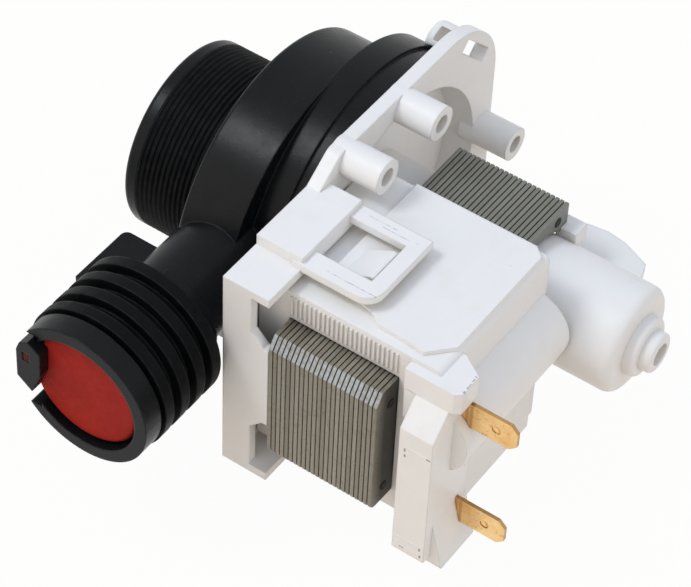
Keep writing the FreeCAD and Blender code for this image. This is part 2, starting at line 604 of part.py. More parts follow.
def upright_at(axis, first, second, slack=0.01):
    """Test for a straight edge along an axis at two other coordinates."""
    others = [i for i in range(3) if i != "XYZ".index(axis)]

    def test(edge):
        if len(edge.Vertexes) != 2:
            return False
        a, b = (vertex.Point for vertex in edge.Vertexes)
        if abs(edge.Length - (b - a).Length) > 1e-6:
            return False
        goal = (first, second)
        return all(abs(p[i] - w) < slack for p in (a, b) for i, w in zip(others, goal))

    return test


def circle_at(x, radius, slack=0.01):
    """Test for a circle about the X axis at one station."""

    def test(edge):
        curve = edge.Curve
        if not isinstance(curve, Part.Circle):
            return False
        return abs(curve.Radius - radius) < slack and abs(curve.Center.x - x) < slack

    return test


def finish(name, thing):
    """Give a piece the name that its file gets."""
    thing.Label = name
    PIECES[name] = thing
    return thing


PIECES = {}

# Motor bracket: flange, frame, bosses, lug, latch loop and rotor can in one
# moulding.

bracket = new_body("bracket")
flange_sketch = outline(bracket, "flange_outline", "YZ_Plane", [
    ("-frame_reach", "-frame_half_height"),
    ("-plate_slope_end - plate_low_slope", "-frame_half_height"),
    ("-plate_slope_start", "-plate_half_height"),
    ("plate_right", "-plate_half_height"),
    ("plate_right", "plate_half_height"),
    ("-plate_slope_start", "plate_half_height"),
    ("-plate_slope_end", "shoulder_height"),
    ("-shoulder_reach", "shoulder_height"),
    ("-shoulder_reach", "frame_half_height"),
    ("-frame_reach", "frame_half_height"),
])
pad(bracket, flange_sketch, "plate_thick")
right = number("plate_right")
half = number("plate_half_height")
soften(bracket, "plate_corner", lambda edge: upright_at("X", right, half)(edge)
       or upright_at("X", right, -half)(edge), "flange_corners")
slope = -number("plate_slope_start")
soften(bracket, "plate_thick", lambda edge: upright_at("X", slope, half)(edge)
       or upright_at("X", slope, -half)(edge), "flange_slopes")
frame_sketch = outline(bracket, "frame_outline", "YZ_Plane", [
    ("-frame_reach", "-frame_half_height"),
    ("-plate_slope_end", "-frame_half_height"),
    ("-plate_slope_end", "-frame_half_height + frame_wall"),
    ("-frame_reach + frame_wall", "-frame_half_height + frame_wall"),
    ("-frame_reach + frame_wall", "frame_half_height - frame_wall"),
    ("-shoulder_reach", "frame_half_height - frame_wall"),
    ("-latch_inner", "frame_half_height - frame_wall"),
    ("-latch_inner", "shoulder_height"),
    ("-shoulder_reach", "shoulder_height"),
    ("-shoulder_reach", "frame_half_height"),
    ("-frame_reach", "frame_half_height"),
])
pad(bracket, frame_sketch, "frame_depth")
notch_upper = outline(bracket, "upper_notch", "XZ_Plane", [
    ("frame_depth - notch_depth", "frame_half_height - frame_wall"),
    ("frame_depth - notch_depth", "notch_upper_low + notch_chamfer"),
    ("frame_depth - notch_depth + notch_chamfer", "notch_upper_low"),
    ("frame_depth + 1", "notch_upper_low"),
    ("frame_depth + 1", "frame_half_height - frame_wall"),
], "frame_reach + 1")
pocket(bracket, notch_upper, "frame_wall + 2")
notch_lower = outline(bracket, "lower_notch", "XZ_Plane", [
    ("frame_depth - notch_depth", "-frame_half_height + frame_wall"),
    ("frame_depth + 1", "-frame_half_height + frame_wall"),
    ("frame_depth + 1", "-notch_lower_high"),
    ("frame_depth - notch_depth + notch_chamfer", "-notch_lower_high"),
    ("frame_depth - notch_depth", "-notch_lower_high - notch_chamfer"),
], "frame_reach + 1")
pocket(bracket, notch_lower, "frame_wall + 2")
dish_mouth = ring_sketch(bracket, "dish_mouth", "YZ_Plane", ("0", "0"), ["dish_radius"], "-1")
pocket(bracket, dish_mouth, "plate_thick + 2", reverse=True)

can = turned("can", [
    ("-dish_depth - dish_floor", "can_bore"),
    ("-dish_depth - dish_floor", "spigot_radius"),
    ("-dish_depth - dish_floor + spigot_lip", "spigot_radius"),
    ("-dish_depth - dish_floor + spigot_lip", "spigot_radius - seal_groove_depth"),
    ("-dish_depth - dish_floor + spigot_lip + seal_groove", "spigot_radius - seal_groove_depth"),
    ("-dish_depth - dish_floor + spigot_lip + seal_groove", "spigot_radius"),
    ("plate_thick / 2", "spigot_radius"),
    ("plate_thick / 2", "dish_radius"),
    ("-dish_depth", "dish_radius"),
    ("-dish_depth", "can_radius"),
    ("can_end", "can_radius"),
    ("can_end", "cap_radius"),
    ("cap_end", "cap_radius"),
    ("cap_end", "tube_radius"),
    ("tube_end", "tube_radius"),
    ("tube_end", "tube_hole"),
    ("rear_bearing_x + bearing_length + end_gap + tube_floor", "tube_hole"),
    ("rear_bearing_x + bearing_length + end_gap + tube_floor", "0"),
    ("rear_bearing_x + bearing_length + end_gap", "0"),
    ("rear_bearing_x + bearing_length + end_gap", "cushion_radius + cushion_gap"),
    ("rear_bearing_x", "cushion_radius + cushion_gap"),
    ("rear_bearing_x", "cap_radius"),
    ("can_end - can_end_wall", "cap_radius"),
    ("can_end - can_end_wall", "can_bore"),
])
soften(can, "can_rounding", circle_at(number("can_end"), number("can_radius")), "can_edge")
soften(can, "can_end_wall / 4", lambda edge: circle_at(number("cap_end"), number("cap_radius"))(edge)
       or circle_at(number("tube_end"), number("tube_radius"))(edge), "can_tip_edges")

fin = new_body("fin")
fin_root = "(can_radius + can_bore) / 2"
fin_sketch = outline(fin, "fin_outline", "XY_Plane", [
    ("fin_start", fin_root),
    ("fin_start", "fin_height - fin_front_drop"),
    ("fin_start + 0.10 * (fin_end - fin_start)", "fin_height - 0.17 * fin_front_drop"),
    ("fin_start + 0.36 * (fin_end - fin_start)", "fin_height"),
    ("fin_start + 0.60 * (fin_end - fin_start)", "fin_height - 0.11 * fin_rear_drop"),
    ("fin_start + 0.95 * (fin_end - fin_start)", "fin_height - 0.56 * fin_rear_drop"),
    ("fin_end", "fin_height - fin_rear_drop"),
    ("fin_start + 1.07 * (fin_end - fin_start)", fin_root),
], "-fin_thick / 2")
pad(fin, fin_sketch, "fin_thick")

hook_x = "frame_depth + plate_count * plate_pitch + core_gap"
hook_low = "core_half_height - core_limb - hook_proud"
hook_block = block("hook_block", (hook_x, "can_radius + hook_proud - hook_width", hook_low),
                   (hook_x + " + hook_length", "can_radius + hook_proud", hook_low + " + hook_height"))
hook_relief = rod("hook_relief", "X", (hook_x + " - 1", "0", "0"), fin_root, "hook_length + 2")
hook = cut("hook", hook_block, [hook_relief])

loop = new_body("loop")
loop_sketch = outline(loop, "loop_outline", "XY_Plane", [
    ("frame_depth - frame_wall", "-latch_outer"),
    ("latch_end", "-latch_outer"),
    ("latch_end", "-latch_inner"),
    ("frame_depth - frame_wall", "-latch_inner"),
], "latch_top - latch_thick")
pad(loop, loop_sketch, "latch_thick")
soften(loop, "latch_corner", upright_at("Z", number("latch_end"), -number("latch_outer")), "loop_corner")
loop_window = outline(loop, "loop_window", "XY_Plane", [
    ("frame_depth", "-latch_outer + latch_arm_outer"),
    ("latch_end - latch_bar", "-latch_outer + latch_arm_outer"),
    ("latch_end - latch_bar", "-latch_inner - latch_arm_inner"),
    ("frame_depth", "-latch_inner - latch_arm_inner"),
], "latch_top + 1")
pocket(loop, loop_window, "latch_thick + 2")

bosses = []
boss_holes = []
for index in ("one", "two", "three"):
    spot = ("0", "boss_%s_y" % index, "boss_%s_z" % index)
    bosses.append(rod("boss_" + index, "X", spot, "boss_radius", "boss_top"))
    spot = ("boss_floor",) + spot[1:]
    boss_holes.append(rod("boss_hole_" + index, "X", spot, "boss_hole", "boss_top - boss_floor + 1"))

post = turned("lug_post", [
    ("-lug_front", "0"),
    ("-lug_front", "lug_radius"),
    ("plate_thick", "lug_radius"),
    ("plate_thick", "0"),
])
soften(post, "lug_round", circle_at(-number("lug_front"), number("lug_radius")), "lug_front_edge")
put(post, ("0", "lug_y", "lug_z"))
post_relief = rod("lug_relief", "X", ("-lug_front - 1", "0", "0"), "drum_one_radius + lug_gap",
                  "lug_front + 1")
lug = cut("lug", post, [post_relief])
lug_slot = doc.addObject("Part::Box", "lug_slot")
lug_turn = FreeCAD.Rotation(FreeCAD.Vector(1, 0, 0), 135)
put(lug_slot, ("lug_wall - lug_front",
               "lug_y + slot_shift_y + (lug_slot_length + lug_slot_width) / 2 / sqrt(2)",
               "lug_z + slot_shift_z + (lug_slot_width - lug_slot_length) / 2 / sqrt(2)"), lug_turn)
tie(lug_slot, "Length", "lug_front - lug_wall + plate_thick + 1")
tie(lug_slot, "Width", "lug_slot_length")
tie(lug_slot, "Height", "lug_slot_width")

bracket_solid = join("bracket_solid", [bracket, can, fin, hook, loop, lug] + bosses)
finish("motor_bracket", cut("motor_bracket", bracket_solid, boss_holes + [lug_slot]))

# Volute: two drums that share a chamber, the inlet collar beside the rotor
# axis, and the outlet pipe with its rim, flap seat, clip and wing.

drum_one = turned("drum_one", [
    ("-drum_one_depth", "0"),
    ("-drum_one_depth", "drum_one_radius"),
    ("-drum_tail", "drum_one_radius"),
    ("-drum_tail", "drum_one_radius - drum_tail_step"),
    ("0", "drum_one_radius - drum_tail_step"),
    ("0", "0"),
])
drum_two = turned("drum_two", [
    ("-drum_two_front", "0"),
    ("-drum_two_front", "drum_two_radius"),
    ("-drum_one_depth + volute_wall / 4", "drum_two_radius"),
    ("-drum_one_depth + volute_wall / 4", "0"),
])
soften(drum_two, "drum_edge", circle_at(-number("drum_two_front"), number("drum_two_radius")), "drum_edge")
put(drum_two, ("0", "-drum_offset", "0"))

collar = turned("collar", [
    ("-collar_end", "collar_radius - collar_wall"),
    ("-collar_end", "collar_radius"),
    ("-collar_end + collar_lip", "collar_radius"),
    ("-collar_end + collar_lip", "collar_radius - sleeve_wall"),
    ("-drum_two_front + front_wall / 5", "collar_radius - sleeve_wall"),
    ("-drum_two_front + front_wall / 5", "collar_radius - collar_wall"),
])
soften(collar, "collar_lip_round", circle_at(-number("collar_end"), number("collar_radius")), "lip_outer")
put(collar, ("0", "-drum_offset", "0"))


def along_outlet(thing):
    """Lay a body turned about X along the outlet axis, mouth towards -Y."""
    thing.Placement = FreeCAD.Placement(FreeCAD.Vector(), FreeCAD.Rotation(FreeCAD.Vector(0, 0, 1), -90))
    tie(thing, "Placement.Base.x", "-pipe_x")
    tie(thing, "Placement.Base.z", "pipe_z")
    return thing


pipe_body = turned("pipe_body", [
    ("pipe_start", "0"),
    ("pipe_start", "pipe_radius"),
    ("rim_start + seat_lip / 2", "pipe_radius"),
    ("rim_start + seat_lip / 2", "0"),
])
soften(pipe_body, "pipe_nose", circle_at(number("pipe_start"), number("pipe_radius")), "pipe_nose_round")
pipe = along_outlet(pipe_body)

sleeve = rod("sleeve", "-Y", ("-pipe_x", "-sleeve_start", "pipe_z"), "sleeve_radius",
             "cuff_start - sleeve_start")
sleeve_side = block("sleeve_side",
                    ("-pipe_x - sleeve_radius - 1", "-cuff_start - 1", "pipe_z - sleeve_radius - 1"),
                    ("-pipe_x", "-sleeve_start + 1", "pipe_z + sleeve_radius + 1"))
half_sleeve = cut("half_sleeve", sleeve, [sleeve_side])

seat_face = "flap_back - press_gap"
rim = along_outlet(turned("rim", [
    ("rim_start", "pipe_bore"),
    ("rim_start", "rim_radius"),
    ("rim_end", "rim_radius"),
    ("rim_end", "rim_bore"),
    (seat_face + " - seat_lip", "rim_bore"),
    (seat_face + " - seat_lip", "seat_radius + seat_width"),
    (seat_face, "seat_radius + seat_width"),
    (seat_face, "seat_radius"),
    ("flap_back - seat_depth / 2", "seat_radius"),
    ("flap_back - seat_depth", "pipe_bore"),
]))

wing = new_body("wing")
wing_sketch = outline(wing, "wing_outline", "XY_Plane", [
    ("-wing_reach", "-wing_inner"),
    ("-pipe_x - (pipe_radius + pipe_bore) / 2", "-wing_inner"),
    ("-pipe_x - (pipe_radius + pipe_bore) / 2", "-cuff_start"),
    ("-wing_reach", "-cuff_start"),
], "pipe_z - wing_thick / 2")
pad(wing, wing_sketch, "wing_thick")
soften(wing, "wing_corner", upright_at("Z", -number("wing_reach"), -number("wing_inner")), "wing_corner")

rim_gap = block("rim_gap", ("-pipe_x - rim_radius - 1", "-rim_end - 1", "pipe_z - rim_gap"),
                ("-rim_gap_x", "-rim_end + rim_gap_depth", "pipe_z + rim_gap"))
open_rim = cut("open_rim", rim, [rim_gap])
clip = new_body("clip")
CLIP_SHARES = [(1.0, 0.19), (0.41, 0.0), (0.04, 0.41), (0.0, 0.85), (0.48, 1.0), (0.85, 0.89), (0.98, 0.74)]
clip_corners = [("-clip_in - %s * (clip_out - clip_in)" % out, "clip_low + %s * (clip_high - clip_low)" % up)
                for out, up in CLIP_SHARES]
clip_sketch = outline(clip, "clip_outline", "XZ_Plane", clip_corners, "rim_end - rim_gap_depth - clip_root")
pad(clip, clip_sketch, "clip_front - rim_end + rim_gap_depth + clip_root")
volute_solid = join("volute_solid", [drum_one, drum_two, collar, pipe, half_sleeve, open_rim, wing, clip])

spigot_bore = rod("spigot_bore", "X", ("-dish_depth - dish_floor - 2 * spigot_gap", "0", "0"),
                  "spigot_radius + spigot_gap", "drum_one_depth + 1")
throat = rod("throat", "X", ("-drum_one_depth - middle_wall", "0", "0"), "throat_radius",
             "middle_wall + drum_one_depth")
chamber = rod("chamber", "X", ("-drum_two_front + front_wall", "-drum_offset", "0"),
              "drum_two_radius - volute_wall",
              "drum_two_front - front_wall - drum_one_depth - middle_wall")
eye = rod("eye", "X", ("-drum_two_front - 1", "0", "0"), "eye_radius", "front_wall + 2")
inlet = rod("inlet", "X", ("-collar_end - 1", "-drum_offset", "0"), "collar_radius - collar_wall",
            "collar_end + 1 - drum_two_front")
outlet = rod("outlet", "-Y", ("-pipe_x", "-pipe_start - pipe_nose", "pipe_z"), "pipe_bore",
             "flap_back - pipe_start - pipe_nose")
flap_way = rod("flap_way", "-Y", ("-pipe_x", "-flap_back + press_gap", "pipe_z"),
               "flap_radius + flap_fold_gap", "flap_thick + flap_fold_gap + press_gap")
nib_reach = "(nib_length + flap_fold_gap) / 2"
nib_rise = "(nib_width + flap_fold_gap) / 2"
nib_way = block("nib_way", ("-nib_x - " + nib_reach, "-clip_front - 1", "nib_z - " + nib_rise),
                ("-nib_x + " + nib_reach, "-flap_back - flap_thick / 4", "nib_z + " + nib_rise))
finish("volute", cut("volute", volute_solid, [
    spigot_bore, throat, chamber, eye, inlet, outlet, flap_way, nib_way,
]))

# Rubber sleeves: one with fine ribs on the inlet collar, one with four ribs on
# the outlet pipe, each held between a shoulder and a lip.

seal_start = "-collar_end + collar_lip + seal_gap"
seal_points = [(seal_start, "collar_radius - sleeve_wall + seal_gap"), (seal_start, "collar_radius")]
thread_length = number("collar_end - collar_lip - drum_two_front - 2 * seal_gap")
thread_count = int(thread_length / number("thread_pitch"))
for index in range(thread_count):
    start = seal_start + " + %d * thread_pitch" % index
    seal_points.append((start + " + thread_pitch / 2", "collar_radius - thread_depth"))
    seal_points.append((start + " + thread_pitch", "collar_radius"))
seal_points.append(("-drum_two_front - seal_gap", "collar_radius - thread_depth"))
seal_points.append(("-drum_two_front - seal_gap", "collar_radius - sleeve_wall + seal_gap"))
inlet_seal = turned("inlet_seal", seal_points)
put(inlet_seal, ("0", "-drum_offset", "0"))
finish("inlet_seal_sleeve", inlet_seal)

cuff_points = [("cuff_start + seal_gap", "pipe_radius + seal_gap")]
cuff_points.append(("cuff_start + seal_gap", "rib_radius"))
for index in range(4):
    centre = "rib_first + %d * rib_pitch" % index
    if index:
        cuff_points.append((centre + " - rib_width / 2", "cuff_root"))
        cuff_points.append((centre + " - rib_width / 2", "rib_radius"))
    cuff_points.append((centre + " + rib_width / 2", "rib_radius"))
    cuff_points.append((centre + " + rib_width / 2", "cuff_root"))
cuff_points.append(("rim_start - seal_gap", "cuff_root"))
cuff_points.append(("rim_start - seal_gap", "pipe_radius + seal_gap"))
finish("outlet_seal_sleeve", along_outlet(turned("outlet_seal", cuff_points)))

# Flap valve: a soft disc whose root is clamped behind the clip, and which
# bends along the line where the root ends.

flap_disc = rod("flap_disc", "-Y", ("-pipe_x", "-flap_back", "pipe_z"), "flap_radius", "flap_thick")
flap_side = block("flap_side", ("-flap_hinge_x", "-flap_back - flap_thick", "pipe_z - flap_radius"),
                  ("-pipe_x + flap_radius", "-flap_back", "pipe_z + flap_radius"))
flap_leaf = doc.addObject("Part::Common", "flap_leaf")
flap_leaf.Base = flap_disc
flap_leaf.Tool = flap_side
half_chord = "sqrt(flap_radius ^ 2 - (flap_hinge_x - pipe_x) ^ 2)"
flap_edge = rod("flap_edge", "Z", ("-flap_hinge_x", "-flap_back - flap_thick / 2", "pipe_z - " + half_chord),
                "flap_thick / 2", "2 * " + half_chord)
finish("flap_valve", join("flap_valve", [flap_leaf, flap_edge]))

root_disc = rod("root_disc", "-Y", ("-pipe_x", "-flap_back", "pipe_z"), "flap_radius", "flap_thick")
root_side = block("root_side", ("-pipe_x - flap_radius", "-flap_back - flap_thick", "pipe_z - flap_radius"),
                  ("-flap_hinge_x - flap_thick / 2 - flap_fold_gap", "-flap_back", "pipe_z + flap_radius"))
root_leaf = doc.addObject("Part::Common", "root_leaf")
root_leaf.Base = root_disc
root_leaf.Tool = root_side
nib = block("nib", ("-nib_x - nib_length / 2", "-clip_front + flap_fold_gap", "nib_z - nib_width / 2"),
            ("-nib_x + nib_length / 2", "-flap_back - flap_thick / 2", "nib_z + nib_width / 2"))
finish("flap_root", join("flap_root", [root_leaf, nib]))

# Stator core: plates punched to a U, held by rivets.

lamination = new_body("lamination")
lamination_sketch = outline(lamination, "lamination_outline", "YZ_Plane", [
    ("-frame_reach", "-core_half_height"),
    ("sqrt(core_bore ^ 2 - (core_half_height - core_limb) ^ 2)", "-core_half_height"),
    ("sqrt(core_bore ^ 2 - (core_half_height - core_limb) ^ 2)", "-core_half_height + core_limb"),
    ("-frame_reach + core_yoke", "-core_half_height + core_limb"),
    ("-frame_reach + core_yoke", "core_half_height - core_limb"),
    ("sqrt(core_bore ^ 2 - (core_half_height - core_limb) ^ 2)", "core_half_height - core_limb"),
    ("sqrt(core_bore ^ 2 - (core_half_height - core_limb) ^ 2)", "core_half_height"),
    ("-frame_reach + core_chamfer_y", "core_half_height"),
    ("-frame_reach", "core_half_height - core_chamfer_z"),
])
pad(lamination, lamination_sketch, "plate_gauge")
soften(lamination, "core_corner", upright_at("X", -number("frame_reach"), -number("core_half_height")),
       "lamination_corner")
bore_sketch = ring_sketch(lamination, "lamination_bore", "YZ_Plane", ("0", "0"), ["core_bore"], "-1")
pocket(lamination, bore_sketch, "plate_gauge + 2", reverse=True)
RIVETS = [("rivet_pole_y", "rivet_pole_z"), ("rivet_pole_y", "-rivet_pole_z"),
          ("-rivet_yoke_y", "rivet_yoke_z"), ("-rivet_yoke_y", "-rivet_yoke_z")]
for index, (y, z) in enumerate(RIVETS):
    hole = ring_sketch(lamination, "rivet_hole_%d" % index, "YZ_Plane", (y, z),
                       ["rivet_radius + press_gap"], "-1")
    pocket(lamination, hole, "plate_gauge + 2", reverse=True)

stack = []
for index in range(int(number("plate_count"))):
    plate = lamination.Shape.copy()
    plate.translate(FreeCAD.Vector(number("frame_depth") + index * number("plate_pitch"), 0, 0))
    stack.append(plate)
stator_core = doc.addObject("Part::Feature", "stator_core")
stator_core.Shape = Part.Compound(stack)
stator_core.Placement = FreeCAD.Placement(FreeCAD.Vector(number("press_gap"), 0, 0), FreeCAD.Rotation())
finish("stator_core", stator_core)

stack_length = "plate_count * plate_pitch"
rivets = []
for index, (y, z) in enumerate(RIVETS):
    shank = rod("rivet_shank_%d" % index, "X", ("frame_depth + end_gap", y, z), "rivet_radius", stack_length)
    head = rod("rivet_head_%d" % index, "X", ("frame_depth + 2 * press_gap + " + stack_length, y, z),
               "rivet_head", "rivet_head_height")
    rivets.append(join("rivet_%d" % index, [shank, head]))
rivet_group = doc.addObject("Part::Compound", "core_rivets")
rivet_group.Links = rivets
finish("core_rivets", rivet_group)

# Coils: a bobbin and a winding on each limb; the lower pair mirrors the upper.

core_front = "frame_depth - core_gap"
core_back = "frame_depth + plate_count * plate_pitch + core_gap"
limb_low = "core_half_height - core_limb - core_gap"
limb_high = "core_half_height + core_gap"


def limb_block(name, grow, outer, inner):
    """Box round the upper limb, larger by a formula on four sides."""
    return block(name, ("%s - (%s)" % (core_front, grow), "-(%s)" % outer, "%s - (%s)" % (limb_low, grow)),
                 ("%s + (%s)" % (core_back, grow), "-(%s)" % inner, "%s + (%s)" % (limb_high, grow)))


def mirrored(name, source):
    """Copy mirrored in the plane Z = 0."""
    thing = doc.addObject("Part::Mirroring", name)
    thing.Source = source
    thing.Base = FreeCAD.Vector(0, 0, 0)
    thing.Normal = FreeCAD.Vector(0, 0, 1)
    return thing


flange_grow = "bobbin_wall + winding_thick + winding_gap"
bobbin_solid = join("bobbin_solid", [
    limb_block("bobbin_tube", "bobbin_wall", "bobbin_outer", "bobbin_inner"),
    limb_block("bobbin_flange_outer", flange_grow, "bobbin_outer", "bobbin_outer - bobbin_flange"),
    limb_block("bobbin_flange_inner", flange_grow, "bobbin_inner + bobbin_flange", "bobbin_inner"),
])
bobbin_way = limb_block("bobbin_way", "0", "bobbin_outer + 1", "bobbin_inner - 1")
bobbin = cut("bobbin_upper", bobbin_solid, [bobbin_way])
finish("coil_bobbin_upper", bobbin)
finish("coil_bobbin_lower", mirrored("bobbin_lower", bobbin))

winding_body = new_body("winding_body")
winding_sketch = outline(winding_body, "winding_outline", "XZ_Plane", [
    ("%s - bobbin_wall - winding_thick" % core_front, "%s - bobbin_wall - winding_thick" % limb_low),
    ("%s + bobbin_wall + winding_thick" % core_back, "%s - bobbin_wall - winding_thick" % limb_low),
    ("%s + bobbin_wall + winding_thick" % core_back, "%s + bobbin_wall + winding_thick" % limb_high),
    ("%s - bobbin_wall - winding_thick" % core_front, "%s + bobbin_wall + winding_thick" % limb_high),
], "bobbin_inner + bobbin_flange + winding_gap")
pad(winding_body, winding_sketch, "bobbin_outer - bobbin_inner - 2 * bobbin_flange - 2 * winding_gap")


def along_y(edge):
    """Straight edge along Y."""
    if len(edge.Vertexes) != 2:
        return False
    span = edge.Vertexes[1].Point - edge.Vertexes[0].Point
    return abs(span.x) < 1e-6 and abs(span.z) < 1e-6


soften(winding_body, "winding_corner", along_y, "winding_corners")
winding_way = limb_block("winding_way", "bobbin_wall + winding_gap", "bobbin_outer", "bobbin_inner")
winding = cut("winding_upper", winding_body, [winding_way])
finish("coil_winding_upper", winding)
finish("coil_winding_lower", mirrored("winding_lower", winding))

# Coil housing: the overmoulded block with the terminal block, the catch for
# the latch loop and the rounded bulge at the rear.

housing = new_body("housing")
housing_sketch = outline(housing, "housing_outline", "XZ_Plane", [
    ("housing_front", "-housing_bottom"),
    ("housing_rear", "-housing_bottom"),
    ("housing_rear", "housing_top"),
    ("housing_front", "housing_top"),
], "housing_inner")
pad(housing, housing_sketch, "housing_outer - housing_inner")
soften(housing, "edge_round", upright_at("Y", number("housing_rear"), number("housing_top")), "housing_edge")
PLATEAU_SHARES = [(0.0, 0.184), (0.383, 0.118), (0.483, 0.0625), (0.717, 0.056), (0.829, 0.042),
                  (0.975, 0.174), (0.975, 0.948), (0.9, 1.0), (0.0, 1.0)]
plateau_corners = [("plateau_front + %s * (housing_rear - plateau_front)" % along,
                    "-housing_outer + %s * (housing_outer - housing_inner)" % across)
                   for along, across in PLATEAU_SHARES]
plateau_sketch = outline(housing, "plateau_outline", "XY_Plane", plateau_corners,
                         "housing_top - plateau_rise")
pad(housing, plateau_sketch, "2 * plateau_rise")

bulge = rod("bulge", "-Y", ("bulge_x", "-bulge_end", "bulge_z"), "bulge_radius", "housing_outer - bulge_end")
back = block("back", ("housing_rear - bulge_radius / 2", "-housing_outer", "-housing_bottom"),
             ("back_rear", "-back_inner", "bulge_z"))
catch_body = new_body("catch_body")
catch_sketch = outline(catch_body, "catch_outline", "XZ_Plane", [
    ("catch_start", "housing_top"),
    ("latch_end - latch_bar - catch_gap", "housing_top"),
    ("latch_end - latch_bar - catch_gap", "catch_top"),
    ("latch_end - latch_bar - catch_gap - catch_land", "catch_top"),
    ("catch_start", "plateau_top"),
], "catch_inner")
pad(catch_body, catch_sketch, "catch_outer - catch_inner")

block_low = block("block_low", ("block_low_front", "-frame_reach", "-block_low_bottom"),
                  ("block_low_rear", "-foot_inner", "block_low_top"))
block_mid = block("block_mid", ("block_low_front", "-block_high_reach", "block_low_top - 1"),
                  ("block_low_rear", "-foot_inner", "scoop_top + 1"))
block_high_body = new_body("block_high_body")
block_high_sketch = outline(block_high_body, "block_high_outline", "XY_Plane", [
    ("block_high_front", "-block_high_reach"),
    ("block_high_rear", "-block_high_reach"),
    ("block_high_rear + block_high_bulge", "-block_high_reach + 0.8 * block_high_bulge"),
    ("block_high_rear + block_high_bulge", "-foot_inner - 2 * block_high_bulge"),
    ("block_high_rear - 3 * block_high_bulge", "-foot_inner + block_high_bulge / 2"),
    ("block_high_front", "-foot_inner"),
], "scoop_top")
pad(block_high_body, block_high_sketch, "block_high_top - scoop_top")
scoop_body = new_body("scoop_body")
scoop_sketch = outline(scoop_body, "scoop_outline", "YZ_Plane", [
    ("-frame_reach", "block_low_top - edge_round / 2"),
    ("-housing_outer", "block_low_top - edge_round / 2"),
    ("-housing_outer", "scoop_top + edge_round / 2"),
    ("-block_high_reach", "scoop_top"),
    ("-frame_reach", "block_low_top"),
], "block_low_front")
pad(scoop_body, scoop_sketch, "block_low_rear - block_low_front")
foot = new_body("foot")
foot_sketch = outline(foot, "foot_outline", "XZ_Plane", [
    ("block_low_front", "-foot_bottom"),
    ("foot_rear", "-foot_bottom"),
    ("block_low_rear", "-foot_crease"),
    ("block_low_front", "-foot_crease"),
], "foot_inner")
pad(foot, foot_sketch, "foot_outer - foot_inner")
flank_ribs = []
for index in range(int(number("plate_count"))):
    along = "frame_depth + (%d + 0.5) * plate_pitch" % index
    flank_ribs.append(block("flank_rib_%d" % index,
                            (along + " - flank_rib_width / 2", "-housing_outer - flank_rib_depth",
                             "flank_rib_low"),
                            (along + " + flank_rib_width / 2", "-housing_outer + 1", "flank_rib_high")))
housing_solid = join("housing_solid", [
    housing, bulge, back, catch_body, block_low, block_mid, block_high_body, scoop_body, foot,
] + flank_ribs)

coil_way = limb_block("coil_way", flange_grow + " + winding_gap", "bobbin_outer + 0.1", "bobbin_inner - 0.1")
limb_way = limb_block("limb_way", "0", "frame_reach + 1", "0")
yoke_way = block("yoke_way", (core_front, "-frame_reach - 1", "-core_half_height - core_gap"),
                 (core_back, "-frame_reach + core_yoke + core_gap", "core_half_height + core_gap"))
can_way = rod("can_way", "X", ("housing_front - 5", "0", "0"), "can_radius + can_gap", "housing_rear + 10")
tab_ways = []
for which, y, z, base in (("upper", "-tab_upper_y", "tab_upper_z", "block_high_rear"),
                          ("lower", "-tab_lower_y", "-tab_lower_z", "block_low_rear")):
    tab_ways.append(block("tab_way_" + which,
                          (base + " - tab_seat - tab_gap", y + " - tab_thick / 2 - tab_gap",
                           z + " - tab_width / 2 - tab_gap"),
                          (base + " + 3", y + " + tab_thick / 2 + tab_gap",
                           z + " + tab_width / 2 + tab_gap")))
finish("coil_housing", cut("coil_housing", housing_solid, [
    coil_way, mirrored("coil_way_lower", coil_way), limb_way, mirrored("limb_way_lower", limb_way),
    yoke_way, can_way,
] + tab_ways))

# Spade terminals, seated in the terminal block.

for which, y, z, base in (("upper", "-tab_upper_y", "tab_upper_z", "block_high_rear"),
                          ("lower", "-tab_lower_y", "-tab_lower_z", "block_low_rear")):
    tab = new_body("tab_" + which)
    tab_sketch = outline(tab, "tab_outline_" + which, "XZ_Plane", [
        (base + " - tab_seat", z + " - tab_width / 2"),
        (base + " + tab_tip - tab_chamfer", z + " - tab_width / 2"),
        (base + " + tab_tip", z + " - tab_width / 2 + tab_chamfer"),
        (base + " + tab_tip", z + " + tab_width / 2 - tab_chamfer"),
        (base + " + tab_tip - tab_chamfer", z + " + tab_width / 2"),
        (base + " - tab_seat", z + " + tab_width / 2"),
    ], "-(%s) - tab_thick / 2" % y)
    pad(tab, tab_sketch, "tab_thick")
    tab_eye = ring_sketch(tab, "tab_eye_" + which, "XZ_Plane",
                          (base + " + tab_tip - tab_hole_back", z), ["tab_hole"],
                          "-(%s) - tab_thick / 2 - 1" % y)
    pocket(tab, tab_eye, "tab_thick + 2", reverse=True)
    finish("terminal_" + which, tab)

# Rotor: shaft, magnet on its carrier, thrust washers, bearings with their
# cushions, and the bearing cover that closes the can.

finish("rotor_shaft", rod("rotor_shaft", "X", ("-shaft_front", "0", "0"), "shaft_radius",
                          "shaft_front + shaft_rear"))


def sleeve_ring(name, start, length, outer, inner):
    """Plain ring about the rotor axis."""
    body = rod(name + "_outer", "X", (start, "0", "0"), outer, length)
    bore = rod(name + "_inner", "X", (start + " - 1", "0", "0"), inner, length + " + 2")
    return finish(name, cut(name, body, [bore]))


bearing_front = "cover_floor"
sleeve_ring("front_bearing", bearing_front + " + end_gap", "bearing_length", "bearing_radius",
            "shaft_radius + shaft_gap")
sleeve_ring("front_bearing_cushion", bearing_front + " + end_gap", "bearing_length", "cushion_radius",
            "bearing_radius + cushion_gap")
sleeve_ring("rear_bearing", "rear_bearing_x", "bearing_length", "bearing_radius", "shaft_radius + shaft_gap")
sleeve_ring("rear_bearing_cushion", "rear_bearing_x", "bearing_length", "cushion_radius",
            "bearing_radius + cushion_gap")

